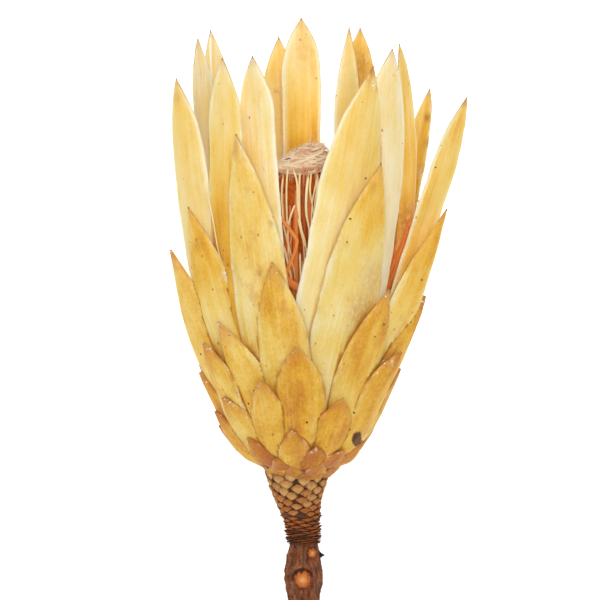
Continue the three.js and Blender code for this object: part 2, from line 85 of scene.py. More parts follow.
# Each bract: azimuth at the root, azimuth at the tip, height of the tip, radius of the tip, width, how
# ripe its colour is at the tip and lower down, from cream 0 to ochre 1, and what sets it apart.
BRACTS = {
    "long": [
        (-57, -76, 117.7, 38, 13, 0.36, 0.14, {"roll": 30, "inset": 5.4, "flare": 1.4, "hem": 1}),
        (-122, -122, 131.4, 36.7, 12.5, 0.12, 0.04, {"inset": 4.4, "point": 1.8, "flare": 2.6, "taper": 1.5}),
        (-142, -136, 134.5, 39.6, 13.5, 0.12, 0.14, {"fold": 0.42}),
        # Its lower part is riper partly as painted shadow from the bracts in front of it.
        (-46, -43, 122.7, 33.5, 12.5, 0.2, 0.66, {"roll": 6, "inset": 6, "taper": 1.6, "fade": 0.52}),
        (-17, -30, 123.3, 28, 11.7, 0.14, 0.22, {"inset": 9.4, "bend": 1.3, "taper": 1.5, "hem": 1}),
        (-172, -170, 133, 38, 13, 0.36, -0.2, {"inset": 5.6}),
        # Its lower part is riper: its own colour and painted warm light deep in the cup.
        (178, 179.4, 138.7, 35.5, 12, 0.22, 0.7, {"inset": 7.6, "taper": 1.35, "fade": 0.64, "hem": 2}),
        (149, 154, 135.6, 34.5, 8.9, 0.26, 0.44, {"inset": 8, "taper": 2.8, "point": 1.7, "hem": 1}),
        (142, 152, 135.6, 39.5, 14.4, 0.46, 0.42, {"inset": 5.8, "taper": 1.7}),
        (4, 38, 120.2, 35, 20.5, 0.4, 0.16, {"waist": 0.6, "bend": 0.9, "hem": -1}),
        (47, 52, 125.7, 34.5, 17.4, 0.1, 0.04, {
            "inset": 6.4, "roll": 14, "waist": 0.2, "wide": 0.8, "flare": 2.6, "taper": 1.6, "hem": 1,
        }),
        (76, 90, 128.5, 29.7, 9.4, 0.44, 0.74, {"inset": 5.2, "roll": 26, "flare": 4, "taper": 1.5}),
        (104, 116, 116.1, 44, 11.2, 0.5, 0.72, {"roll": -14, "flare": 1.5}),
        (66, 70, 111.6, 52.5, 10, 0.44, 0.42, {
            "roll": 28, "inset": 4.2, "flare": 1.15, "taper": 2.2, "hem": -1,
        }),
    ],
    "middle": [
        (-14, -31, 100.1, 36.5, 18, 0.46, 0.32, {"taper": 2.4}),
        (-41, -62, 79.1, 37.5, 16.5, 0.62, 0.36, {"roll": 20}),
        (62, 68, 78.5, 46.9, 14.2, 0.72, 0.28, {"roll": 20, "taper": 3, "flare": 1.15}),
        (18, 39.5, 91.7, 37.5, 21.5, 0.64, 0.3, {"taper": 1.9, "bend": 0.8, "fade": 0.64}),
        (96, 94, 76, 36, 15, 0.6, 0.42, {}),
        (132, 128, 84, 37, 16, 0.55, 0.4, {}),
        (166, 168, 90, 37, 16, 0.6, 0.45, {}),
        (-158, -162, 85, 37.5, 16, 0.55, 0.38, {}),
        (-124, -128, 79, 37, 16, 0.62, 0.42, {}),
        (-92, -94, 72, 33, 15, 0.64, 0.48, {}),
    ],
    "short": [
        (-5, -14, 62.7, 34.5, 15.8, 0.62, 0.44, {}),
        (40, 46, 54.5, 36.5, 17.6, 0.72, 0.52, {"taper": 1.5}),
        (-26, -45, 45.1, 34.5, 15, 0.6, 0.46, {}),
        (-58, -73, 66.5, 40.4, 16, 0.46, 0.46, {"roll": 24, "taper": 2.5, "flare": 1.2}),
        (72, 78, 52.8, 38.2, 13.6, 0.76, 0.46, {"roll": 12, "taper": 2.2, "flare": 1.1}),
        (110, 112, 54, 36.5, 15, 0.7, 0.62, {}),
        (146, 150, 58, 45.3, 15, 0.62, 0.56, {"flare": 2}),
        (180, 178, 62, 36, 15, 0.72, 0.66, {}),
        (-146, -150, 58, 45.3, 15, 0.66, 0.58, {"flare": 2}),
        (-108, -110, 55, 37, 15, 0.7, 0.64, {}),
    ],
    "ovate": [
        (4, -2, 37.9, 32.6, 15.6, 0.7, 0.7, {}),
        (-24, -23, 28.2, 30, 13, 0.56, 0.6, {"taper": 1.2}),
        (27, 27, 22.6, 28.4, 13.4, 0.74, 0.68, {}),
        (-55, -60, 38.9, 33.2, 13, 0.62, 0.46, {}),
        (50, 67, 36.2, 32.8, 14.5, 0.78, 0.54, {}),
        (-44, -56, 22.6, 28, 11, 0.66, 0.5, {}),
        (98, 98, 31, 30.5, 13, 0.74, 0.76, {}),
        (124, 126, 36, 31.5, 14, 0.7, 0.74, {}),
        (152, 152, 33, 31, 14, 0.76, 0.8, {}),
        (178, 176, 37, 31, 14.5, 0.7, 0.74, {}),
        (-156, -157, 34, 31, 14, 0.78, 0.8, {}),
        (-130, -130, 36.5, 31.5, 14, 0.7, 0.76, {}),
        (-104, -103, 32, 31, 13.5, 0.76, 0.8, {}),
        (-80, -84, 30, 30.2, 12, 0.8, 0.84, {}),
    ],
    "scale": [
        (-4, -6, 13.4, 23.4, 11.4, 0.76, 0.68, {"taper": 1.1}),
        (-70, -80, 18.4, 25.8, 11, 0.74, 0.7, {}),
        (-38, -46, 10.7, 22, 8, 0.94, 0.96, {"taper": 1.3}),
        (16, 14, 8.2, 20.2, 9, 1.1, 1, {}),
        (66, 72, 9.2, 19.2, 10, 0.7, 0.74, {}),
        (40, 43, 6.8, 19.5, 9, 0.84, 0.86, {}),
        (-22, -27, 4.5, 17.2, 8, 0.9, 0.94, {}),
        (98, 98, 14, 22.6, 11, 0.86, 0.9, {"inset": 1.1}),
        (126, 126, 16.5, 25.4, 11.5, 0.88, 0.92, {}),
        (154, 156, 14.5, 24.6, 11, 0.84, 0.92, {}),
        (-176, -176, 17, 25.4, 11.5, 0.9, 0.96, {}),
        (-148, -147, 15, 24.8, 11, 0.86, 0.92, {}),
        (-120, -120, 16.5, 25.4, 11.5, 0.88, 0.94, {}),
        (-94, -94, 14, 24.4, 11, 0.86, 0.92, {}),
    ],
}
# Ragged little scales that hide where the cup meets the neck: how many, how high their tips reach, how
# wide they are, how far each tip may stray from that height and how ripe they are.
COLLAR = {"count": 26, "height": 2, "width": 7.2, "stray": 1.4, "ripe": (0.8, 1.1)}
# Sections along a bract of each whorl.
STATIONS = {"collar": 14, "scale": 26, "ovate": 38, "short": 44, "middle": 56, "long": 72}
BLADE_RADIUS = 16  # how a long bract is channelled near its tip
TIP_HALF_WIDTH = 0.14
TOWARDS_TIP = 1.35  # over 1 sets a bract's sections closer together near its tip
# Shares of a bract's length: where it leaves the cup, where its root has risen to its whorl and where it
# has its full roll.
FREE_FROM, RISEN_BY, ROLLED_BY = 0.35, 0.3, 0.6

# Marks on single bracts: whorl, place in its list, across and height in the picture, size, strength.
# Brown marks are mostly real stains; those noted below are painted shade and painted shadow between
# bracts. Frost is white down, a lesion is nearly black.
MARK_SLENDER = 1.5  # a mark's height over its width
STAINS_AND_SHADE = [
    ("middle", 0, -19.2, 95, 3.4, 0.5), ("middle", 0, -8.5, 73.5, 1.8, 0.8),
    # Painted shadow where the next bract lies against this one.
    ("middle", 0, -11.9, 59.5, 3.2, 0.7),
    ("middle", 1, -30.5, 68, 3, 0.6), ("middle", 1, -28.5, 80, 2, 0.5),
    ("middle", 3, 21.5, 84.5, 2.4, 0.4), ("middle", 2, 43.8, 77, 2.2, 0.7),
    ("long", 12, 38.6, 107, 2.4, 0.9), ("long", 12, 38.4, 99, 2.6, 0.7), ("long", 12, 36.8, 91, 3, 0.5),
    ("long", 9, 20.4, 119.4, 6, 0.8), ("long", 9, 23.2, 114, 3, 0.6), ("long", 13, 49, 110.5, 3, 0.7),
    # These three are painted shade deep in the cup.
    ("long", 11, 33, 74, 11, 0.8), ("long", 12, 35, 74, 11, 0.6), ("long", 11, 30, 60, 9, 0.8),
    ("long", 6, 2.4, 128, 11, 0.16), ("long", 8, 20, 126, 2.4, 0.8),
    # These two are painted shade deep between the bracts at the left.
    ("middle", 1, -21.5, 66, 4, 0.3), ("middle", 0, -20.6, 60, 6, 0.3),
    # The first two here are painted shadow from the bract that lies over this one.
    ("middle", 3, 21.4, 58, 9, 0.3), ("middle", 3, 18, 48, 10, 0.35), ("long", 8, 18, 124, 10, 0.4),
    ("long", 5, -7.2, 116, 1.4, 0.7), ("long", 5, -6.6, 104.5, 0.8, 0.6),
    ("long", 4, -10.8, 90.6, 1.3, 0.5), ("long", 0, -36.6, 112, 3, 0.35),
    # The first here is painted shadow where the bract over it ends.
    ("short", 0, -11.6, 61, 1.7, 0.9), ("short", 1, 26.4, 49.5, 1.6, 0.7), ("short", 0, -6, 57, 4, 0.25),
    ("short", 2, -24.2, 40.5, 1.8, 0.9), ("short", 4, 36.5, 50, 3.4, 0.8),
    ("ovate", 0, -3, 27, 5, 0.25), ("ovate", 3, -30.6, 38.5, 2.4, 0.7), ("ovate", 4, 28.5, 36, 1.6, 0.6),
    ("scale", 2, -16, 10, 2, 0.6), ("scale", 1, -23, 18, 1.6, 0.6),
]
FROSTS = [
    ("middle", 1, -21.8, 59, 3, 1), ("middle", 2, 40.6, 75, 1, 0.8),
    ("long", 9, 21.6, 114.8, 1.8, 1), ("long", 12, 36.3, 90, 1.6, 0.7),
    ("short", 0, -8.7, 64, 1.6, 0.6), ("short", 2, -24, 44, 2, 0.5),
    ("ovate", 0, 8, 30, 1.3, 0.6), ("ovate", 1, -10, 29, 1.6, 0.8), ("ovate", 1, -4, 22, 1.8, 0.7),
    ("ovate", 2, 4, 22, 1.6, 0.7), ("ovate", 4, 27, 33, 1.8, 0.6), ("scale", 0, -1, 13, 1.4, 0.8),
    ("scale", 3, 4.5, 7.6, 1.3, 0.7), ("scale", 1, -23, 12, 1.4, 0.4),
]
LESIONS = [
    ("ovate", 2, 16.2, 10.4, 3.6, 1), ("ovate", 4, 16.9, 10.4, 3.9, 1), ("scale", 4, 16.9, 10.4, 3.6, 1),
    ("short", 2, -11.5, 27.6, 0.7, 1), ("short", 1, 24.8, 44.5, 0.8, 0.8),
]

# Bowl-shaped floor that carries the bracts: radius, height.
BOWL = [
    (0, 0.2), (9.4, 0.2), (10.9, 2), (14, 4), (17, 7), (20.4, 12), (21.4, 14), (16, 14), (12.4, 8), (0, 8),
]

# Scaly neck under the cup: height, radius, sideways drift of its centre.
NECK = [
    (-0.2, 9.3, -1), (-2.4, 8.9, -0.8), (-8.4, 7, -0.6), (-14.4, 5.5, 0.5), (-21, 4.8, 1.1),
    (-24.2, 4.4, 1.2),
]
# The pads round it: how many, between which heights, how wide, how much of its room each one fills, how
# much closer they lie lower down, and how far their tops lean out, in degrees.
NECK_PAD = {
    "count": 176, "bottom": -21.4, "top": 0.2, "width": 4.7, "fill": 1.5, "crowding": 1.5, "tilt": 12.0,
}
# Dead stubs on the neck: azimuth, height.
NECK_STUBS = [
    (-88, -13.4), (-84, -18), (-92, -20.3), (87, -13.5), (93, -16.6), (84, -17.6), (90, -19.7), (140, -15),
    (-150, -18.5), (175, -12), (120, -19), (-125, -14.6), (-40, -20.6), (55, -20.2), (200, -20),
]
GOLDEN_ANGLE = 137.508
SHADE_RAYS = 20
ANY_DIRECTION = (0.31, 0.52, 0.79)  # one that no normal shares

# Woody stem down to its cut end: height, radius, sideways drift of its centre.
STEM = [
    (-21, 4.2, 1.1), (-23.5, 4.4, 1.1), (-26, 5.05, 1.1), (-29.4, 5.6, 1.1), (-32.4, 5.55, 1.1),
    (-35.4, 5.1, 1.1), (-38.4, 4.7, 1.3), (-45, 4.5, 1.5), (-52, 4.7, 1.6),
]
# Two scars of broken side shoots and a dead spur. proud: how far each stands out of the bark.
SIDE_SCAR = {"height": -32, "azimuth": -3, "radius": 2.5, "proud": 0.75}
SMALL_SCAR = {"height": -24.2, "azimuth": 32, "radius": 1.5, "proud": 0.45}
SPUR = {"height": -24.9, "azimuth": 84, "radius": 0.95, "proud": 1.5}

# Bundle of florets: height, radius of its core.
CORE = [(9.8, 5), (30, 5.9), (60, 7.4), (84, 8.4), (89.7, 7.4)]
# Rust strips round it: how many, from where to where, how far their tops spread, width and thickness.
STRIPS = {"count": 58, "bottom": 13.0, "top": 86.0, "spread": 7.0, "width": 1.5, "thick": 0.26}
# Strips that stand up past the wool: between which azimuths, how much higher and how far out they go,
# and from which height over which length they leave the core.
TALL_STRIPS = {"from": 8, "to": 80, "higher": 5.5, "out": 1.8, "leave": 82, "over": 8}
# Loose ribbons, one curled in the opening and three at its right: across, height, depth.
CURLED_RIBBON = [
    (1.5, 18, 5), (1.2, 30, 9.6), (2.4, 44, 13), (0.9, 53.6, 14.6), (-2.8, 56.6, 15.2), (-4.2, 58.4, 15.4),
    (-4, 60, 15.4), (-2.2, 64, 15.2), (-0.9, 68.4, 15), (-1.5, 70.4, 15), (-5.4, 75.6, 14.4), (-7, 78, 13.4),
]
SIDE_RIBBONS = [
    [
        (7.3, 9, 1.6), (15, 24, 5), (21, 42, 8), (25.4, 56, 10), (28, 63, 10.6), (30.6, 69.6, 11),
        (34.4, 80.4, 11.8),
    ],
    [
        (7.3, 9, -1.2), (14, 26, 4), (21, 46, 8), (25, 57, 11), (26.6, 62, 11.6), (29.4, 70, 12),
        (30.8, 74, 12),
    ],
    [
        (7.3, 9, 0.4), (16, 28, 4), (25, 52, 7.5), (29.6, 64, 8.6), (33, 74, 9.6), (35.4, 80, 10.4),
        (34, 82, 11.4),
    ],
]
# Half a ribbon's width, how much of it the side ones have, and its thickness.
RIBBON = {"half": 1.05, "slender": 0.42, "thick": 0.3}

# Cream styles that show in the opening: points of each, across and height, from its top down.
FRONT_STYLES = [
    [(-5, 89.2), (-5.4, 83), (-5, 76), (-4.5, 72), (-2.7, 65), (-1.4, 58)],
    [(-3.6, 91), (-4, 85), (-3.8, 74.4), (-3, 60)],
    [(-2.2, 91), (-0.9, 86.6), (-0.7, 80), (0.4, 73), (1.7, 67.8), (1.9, 58)],
    [(0, 90), (-0.2, 85), (0, 74.7), (1.1, 67.8), (1.4, 56)],
    [(2.5, 88.8), (1.9, 83), (1.9, 77.3), (2.8, 71.4), (3, 60)],
    [(4.4, 91), (5.1, 88), (3.6, 80), (3.2, 66)],
    [(5.3, 89), (5.1, 85), (4.4, 80), (4, 68)],
    [(-1.5, 80), (-3.3, 74.4), (-3.6, 66)],
    [(0, 65.7), (0.2, 57.3), (0.2, 48)],
    [(3.4, 90), (3, 84), (4, 76), (2.4, 68)],
    [(-0.6, 76), (0.8, 70), (2.2, 66)],
    [(-4.9, 68), (-3, 60), (-1.8, 54)],
]
# One of them is seen flat: its place in the list and how much wider it is.
BROAD_STYLE, BROADER = 4, 1.4
# A stray one, caught between two bracts on the left: across, height, depth.
STRAY_STYLE = [(-22, 60, 19), (-24, 66, 22.6), (-25.4, 74, 23.6), (-26.6, 80.5, 23.4), (-27.6, 84.4, 22.4)]
# Thin threads that lie across the opening: how many, half their thickness, how high they lie.
THREADS = {"count": 8, "half": 0.13, "low": 46.0, "high": 84.0}
# Every style's half width and thickness, and how many more stand round the core, from where to where.
STYLE = {"half": 0.28, "thick": 0.52, "around": 17, "bottom": 11.0, "top": 89.0}

# Wool over the florets' tops: from where to where, its radius, how far it drifts across and slopes, how
# many locks and hairs it has and how long a hair is.
WOOL = {
    "bottom": 89.2, "top": 98, "radius": 8.6, "drift": 3.0, "slope": 0.2,
    "locks": 230, "hairs": 700, "hair": 5.0,
}
# Its outline: shares of its height and of its radius.
WOOL_OUTLINE = [(0, 0.8), (0.14, 1), (0.3, 0.97), (0.5, 0.86), (0.7, 0.68), (0.88, 0.45), (1, 0.05)]


# Small measures of the flower's frame.

def ease(t):
    t = np.clip(t, 0, 1)
    return t * t * (3 - 2 * t)


def along(table, height, column=1):
    rows = sorted(table)
    return np.interp(height, [row[0] for row in rows], [row[column] for row in rows])


def around(azimuth, radius, height):
    """Points at an azimuth in degrees, a distance from the flower's axis and a height on it."""
    a = np.radians(azimuth)
    return np.stack(np.broadcast_arrays(radius * np.sin(a), height, radius * np.cos(a)), axis=-1)


def unit(vectors):
    return vectors / np.linalg.norm(vectors, axis=-1, keepdims=True)


def smooth_path(points, count):
    """Evenly many points on a smooth curve through the given ones."""
    points = np.array(points, float)
    ends = np.vstack([2 * points[0] - points[1], points, 2 * points[-1] - points[-2]])
    made = []
    for t in np.linspace(0, len(points) - 1, count):
        i = min(int(t), len(points) - 2)
        u = t - i
        a, b, c, d = ends[i : i + 4]
        square = 2 * a - 5 * b + 4 * c - d
        cube = 3 * b - a - 3 * c + d
        made.append(0.5 * (2 * b + (c - a) * u + square * u**2 + cube * u**3))
    return np.array(made)


def srgb(red, green, blue):
    """A picture's colour, 0 to 255, as the light that a shader works with."""
    shares = np.array([red, green, blue]) / 255
    light = np.where(shares <= 0.04045, shares / 12.92, ((shares + 0.055) / 1.055) ** 2.4)
    return (*light, 1)


# Node trees, for geometry and for materials.

class Wire:
    """An output of a node, so that a formula in a tree reads as plain arithmetic."""

    def __init__(self, net, socket):
        self.net = net
        self.socket = socket

    def __add__(self, other):
        return self.net.work("ADD", self, other)

    def __sub__(self, other):
        return self.net.work("SUBTRACT", self, other)

    def __rsub__(self, other):
        return self.net.work("SUBTRACT", other, self)

    def __mul__(self, other):
        return self.net.work("MULTIPLY", self, other)

    def __truediv__(self, other):
        return self.net.work("DIVIDE", self, other)

    def __pow__(self, other):
        return self.net.work("POWER", self, other)

    __radd__ = __add__
    __rmul__ = __mul__


class Net:
    """A node tree that is wired up in code."""

    def __init__(self, tree):
        self.tree = tree

    def put(self, kind, *values, **settings):
        """Adds a node, with its first inputs in order and its properties by name."""
        node = self.tree.nodes.new(kind)
        for name, value in settings.items():
            setattr(node, name, value)
        for i, value in enumerate(values):
            self.feed(node.inputs[i], value)
        return node

    def feed(self, socket, value):
        if isinstance(value, Wire):
            self.tree.links.new(value.socket, socket)
        elif value is not None:
            many = socket.type == "VECTOR" and not hasattr(value, "__len__")
            socket.default_value = (value,) * 3 if many else value

    def wire(self, node, output=0):
        return Wire(self, node.outputs[output])

    def work(self, operation, *values):
        """Arithmetic on numbers, or on vectors if one of the values is a vector."""
        is_vector = any(
            v.socket.type == "VECTOR" if isinstance(v, Wire) else hasattr(v, "__len__") for v in values
        )
        kind = "ShaderNodeVectorMath" if is_vector else "ShaderNodeMath"
        return self.wire(self.put(kind, *values, operation=operation))

    def vector(self, x=0, y=0, z=0):
        return self.wire(self.put("ShaderNodeCombineXYZ", x, y, z))

    def parts(self, vector):
        node = self.put("ShaderNodeSeparateXYZ", vector)
        return [self.wire(node, i) for i in range(3)]

    def span(self, value, low, high, to_low=0, to_high=1, shape="SMOOTHSTEP"):
        """A value carried from one range to another and held at its ends."""
        node = self.put("ShaderNodeMapRange", value, low, high, to_low, to_high, interpolation_type=shape)
        return self.wire(node)

    def noise(self, vector, detail=2, roughness=0.5, size=1):
        node = self.put("ShaderNodeTexNoise")
        self.feed(node.inputs["Vector"], vector)
        self.feed(node.inputs["Scale"], 1 / size)
        self.feed(node.inputs["Detail"], detail)
        self.feed(node.inputs["Roughness"], roughness)
        return self.wire(node)


class GeometryNet(Net):
    """A Geometry Nodes tree with its sizes as named inputs."""

    def __init__(self, name, **sizes):
        super().__init__(bpy.data.node_groups.new(name, "GeometryNodeTree"))
        face = self.tree.interface
        face.new_socket("geometry", in_out="INPUT", socket_type="NodeSocketGeometry")
        face.new_socket("geometry", in_out="OUTPUT", socket_type="NodeSocketGeometry")
        for label, value in sizes.items():
            kind = "NodeSocketInt" if isinstance(value, int) else "NodeSocketFloat"
            face.new_socket(label, in_out="INPUT", socket_type=kind).default_value = value
        face.new_socket("material", in_out="INPUT", socket_type="NodeSocketMaterial")
        inputs = self.put("NodeGroupInput")
        self.given = {socket.name: Wire(self, socket) for socket in inputs.outputs if socket.name}

    def attribute(self, name, kind="FLOAT"):
        node = self.put("GeometryNodeInputNamedAttribute", name, data_type=kind)
        return self.wire(node, "Attribute")

    def store(self, geometry, name, value, kind="FLOAT", domain="POINT"):
        node = self.put("GeometryNodeStoreNamedAttribute", geometry, data_type=kind, domain=domain)
        self.feed(node.inputs["Name"], name)
        self.feed(node.inputs["Value"], value)
        return self.wire(node)

    def moved(self, geometry, position):
        node = self.put("GeometryNodeSetPosition", geometry)
        self.feed(node.inputs["Position"], position)
        return self.wire(node)

    def copies(self, points, shape, rotation, scale):
        """A copy of a shape at each point, as instances."""
        node = self.put("GeometryNodeInstanceOnPoints", points)
        for name, value in (("Instance", shape), ("Rotation", rotation), ("Scale", scale)):
            self.feed(node.inputs[name], value)
        return self.wire(node)

    def index(self):
        return self.wire(self.put("GeometryNodeInputIndex"))

    def random(self, low, high, seed):
        """A number for each point or instance, between low and high."""
        node = self.put("FunctionNodeRandomValue", data_type="FLOAT")
        open_inputs = [socket for socket in node.inputs if socket.enabled]
        for socket, value in zip(open_inputs, (low, high, None, seed)):
            self.feed(socket, value)
        return Wire(self, next(socket for socket in node.outputs if socket.enabled))

    def end(self, geometry):
        real = self.wire(self.put("GeometryNodeRealizeInstances", geometry))
        coated = self.wire(self.put("GeometryNodeSetMaterial", real, None, self.given["material"]))
        self.put("NodeGroupOutput", coated)


def link(thing):
    bpy.context.scene.collection.objects.link(thing)
    return thing


def mesh_of(name, points, faces=(), edges=()):
    mesh = bpy.data.meshes.new(name)
    mesh.from_pydata([tuple(p) for p in points], list(edges), list(faces))
    mesh.update()
    return mesh


def ring_mesh(name, points, sides):
    """A closed body of rings of points, one after the other, with a flat face at each end."""
    last = len(points) - sides
    faces = []
    for start in range(0, last, sides):
        for k in range(sides):
            a, b = start + k, start + (k + 1) % sides
            faces.append((a, b, b + sides, a + sides))
    faces += [tuple(range(sides)), tuple(range(last, last + sides))]
    return mesh_of(name, points, faces)


def lathe(name, profile, sides):
    """A closed body turned about the flower's axis: radius, height, sideways drift, from axis to axis."""
    points = []
    for radius, height, drift in profile:
        points.extend(around(np.arange(sides) * 360 / sides, max(radius, 0.001), height) + (drift, 0, 0))
    return ring_mesh(name, points, sides)


def joined(name, meshes):
    whole = bmesh.new()
    for mesh in meshes:
        whole.from_mesh(mesh)
    mesh = bpy.data.meshes.new(name)
    whole.to_mesh(mesh)
    whole.free()
    return mesh


def write_attribute(mesh, name, values):
    """Numbers or vectors for each point of a mesh, under a name that trees and materials read."""
    values = np.asarray(values, np.float32)
    is_vector = values.ndim == 2
    made = mesh.attributes.new(name, "FLOAT_VECTOR" if is_vector else "FLOAT", "POINT")
    made.data.foreach_set("vector" if is_vector else "value", values.ravel())


def read_attribute(mesh, name):
    source = mesh.attributes[name]
    is_vector = source.data_type == "FLOAT_VECTOR"
    values = np.zeros(len(source.data) * (3 if is_vector else 1), np.float32)
    source.data.foreach_get("vector" if is_vector else "value", values)
    return values.reshape(-1, 3) if is_vector else values


def grown(name, start, net, material, **sizes):
    """The plain mesh that a Geometry Nodes tree makes from a starting mesh."""
    source = link(bpy.data.objects.new(name + "_start", start))
    modifier = source.modifiers.new(net.tree.name, "NODES")
    modifier.node_group = net.tree
    wanted = {**sizes, "material": material}
    for item in net.tree.interface.items_tree:
        if item.in_out == "INPUT" and item.name in wanted:
            modifier[item.identifier] = wanted[item.name]
    depsgraph = bpy.context.evaluated_depsgraph_get()
    result = source.evaluated_get(depsgraph)
    mesh = bpy.data.meshes.new_from_object(result, preserve_all_data_layers=True, depsgraph=depsgraph)
    mesh.name = name
    bpy.data.objects.remove(source)
    return mesh


def face_out(mesh):
    tidy = bmesh.new()
    tidy.from_mesh(mesh)
    bmesh.ops.recalc_face_normals(tidy, faces=tidy.faces)
    tidy.to_mesh(mesh)
    tidy.free()


def finish_piece(name, mesh, node, material=None):
    """Lays a mesh down in the flower's place, as a piece that stands for one of the frame's nodes."""
    face_out(mesh)
    mesh.transform(LAID_DOWN)
    mesh.shade_smooth()
    if material:
        mesh.materials.clear()
        mesh.materials.append(material)
    piece = link(bpy.data.objects.new(name, mesh))
    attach(piece, "root")
    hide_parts(node)
    return piece


# Paths and the blades, ribbons and rods that are swept along them.

def stations(middle, out, half, tone=0.5, bend=1000.0, thick=0.6, seed=0.0, curl=0.0):
    """What a tree needs to know at each point of a path: a table of names and values.

    half is half the width there, bend the radius that the section is bent to, and out the way it faces.
    """
    count = len(middle)
    steps = np.linalg.norm(np.diff(middle, axis=0), axis=1)
    run = np.concatenate([[0], np.cumsum(steps)])
    forward = unit(np.gradient(middle, axis=0))
    out = unit(out - forward * np.sum(out * forward, axis=1, keepdims=True))
    same = np.ones(count)
    return {
        "middle": middle, "out": out, "side": np.cross(forward, out), "half": half * same,
        "bend": bend * same, "thick": thick * same, "run": run, "left": run[-1] - run,
        "share": run / run[-1], "tone": tone * same, "seed": seed * same, "curl": curl * same,
    }


def paths_mesh(name, paths):
    """One line of edges for each path, with its stations as attributes."""
    edges = []
    start = 0
    for path in paths:
        count = len(path["middle"])
        edges += [(start + i, start + i + 1) for i in range(count - 1)]
        start += count
    mesh = mesh_of(name, np.concatenate([path["middle"] for path in paths]), edges=edges)
    for key in paths[0]:
        if key != "middle":
            write_attribute(mesh, key, np.concatenate([path[key] for path in paths]))
    return mesh


def sweep_tree():
    """Sweeps a curved, tapering section along each path. A high edge gives a blade, 1 gives a rod."""
    net = GeometryNet(
        "swept_along_path", section_points=24, edge=3.2, margin_share=0.45, wobble=0.07,
        wobble_length=11.0, ripple=0.5, ripple_length=22.0, crinkle=0.2, keel=0.15,
    )
    given = net.given
    curve = net.wire(net.put("GeometryNodeMeshToCurve", given["geometry"]))
    curve = net.store(curve, "middle", net.wire(net.put("GeometryNodeInputPosition")), "FLOAT_VECTOR")
    circle = net.wire(net.put("GeometryNodeCurvePrimitiveCircle", given["section_points"]))
    circle = net.store(circle, "turn", net.index() / given["section_points"] * math.tau)
    sweep = net.put("GeometryNodeCurveToMesh", curve, circle)
    sweep.inputs["Fill Caps"].default_value = True
    swept = net.wire(sweep)

    turn, half, seed = net.attribute("turn"), net.attribute("half"), net.attribute("seed")
    run, left, bend = net.attribute("run"), net.attribute("left"), net.attribute("bend")
    across = net.work("COSINE", turn)
    lift = net.work("MINIMUM", net.work("MAXIMUM", net.work("SINE", turn) * given["edge"], -1), 1)
    swept = net.store(net.store(swept, "across", across), "lift", lift)
    across, lift = net.attribute("across"), net.attribute("lift")

    # Uneven margins, then waves and wrinkles that fade towards the root and the tip.
    margin = net.work("SIGN", across) * 3 + seed
    stray = (net.noise(net.vector(margin, run / given["wobble_length"], seed * 2), 1) - 0.5) * 2
    half = half * (1 + stray * given["wobble"] * net.work("ABSOLUTE", across))
    free = net.span(run, 12, 40) * net.span(left, 0, 10)
    wave = net.noise(net.vector(margin, run / given["ripple_length"], seed))
    relief = (wave - 0.5) * 2 * given["ripple"] * across * across * free
    place = net.vector(across * half / 7 + seed, run / 16, seed)
    relief = relief + (net.noise(place) - 0.5) * 2 * given["crinkle"] * net.span(left, 0, 6)
    relief = relief + given["keel"] * (1 - net.work("ABSOLUTE", across)) ** 3
    relief = relief + net.attribute("curl") * across ** 4
    thinning = 1 - (1 - given["margin_share"]) * across * across
    relief = relief + lift * net.attribute("thick") / 2 * thinning * net.span(left, 0, 3, 0.35, 1)

    # The section is bent about a line that lies one bend radius behind its middle.
    angle = half * across / bend
    out = net.attribute("out", "FLOAT_VECTOR")
    side = net.attribute("side", "FLOAT_VECTOR")
    face = out * net.work("COSINE", angle) + side * net.work("SINE", angle)
    position = net.attribute("middle", "FLOAT_VECTOR") - out * bend + face * (bend + relief)
    net.end(net.moved(swept, position))
    return net


def bract_path(whorl, place, row):
    """Stations up the midrib of a bract that rises from the bowl, hugs the cup and goes its own way."""
    root_azimuth, tip_azimuth, tip_height, tip_radius, width, tip_tone, low_tone, own = row
    p = {**PLAIN_BRACT, **WHORLS[whorl], **own}
    share = 1 - (1 - np.linspace(0, 1, STATIONS[whorl])) ** TOWARDS_TIP
    height = p["root"] + (tip_height - p["root"]) * share
    free = np.maximum(0, (share - FREE_FROM) / (1 - FREE_FROM)) ** p["flare"]
    at_tip = along(CUP, tip_height) - p["inset"]
    dip = p["dip"] * (1 - ease(share / RISEN_BY))
    radius = along(CUP, height) - p["inset"] - dip + (tip_radius - at_tip) * free
    azimuth = root_azimuth + (tip_azimuth - root_azimuth) * share ** p["bend"]
    middle = around(azimuth, radius, height)
    seed = 1.7 + 3.1 * place + 17 * list(WHORLS).index(whorl)
    tone = low_tone + (tip_tone - low_tone) * ease((share - p["fade"]) / (0.95 - p["fade"]))
    path = stations(middle, around(azimuth, 1, 0), 1, tone, 1, p["thick"], seed, p["curl"])
    roll = -np.radians(p["roll"]) * np.sign(tip_azimuth) * ease(share / ROLLED_BY)
    cosine, sine = np.cos(roll)[:, None], np.sin(roll)[:, None]
    out, side = path["out"], path["side"]
    path["out"], path["side"] = out * cosine + side * sine, side * cosine - out * sine
    from_tip = np.minimum(1, path["left"] / (p["taper"] * width))
    pointed = 1 - (1 - from_tip) ** p["point"]
    narrowed = p["waist"] + (1 - p["waist"]) * ease(share / p["wide"])
    path["half"] = np.maximum(TIP_HALF_WIDTH, width / 2 * pointed * narrowed)
    path["bend"] = radius + (BLADE_RADIUS - radius) * ease(share)
    for name, value in (("bract", place), ("hem", p["hem"]), ("fold", p["fold"])):
        path[name] = np.full(len(share), value, float)
    return path


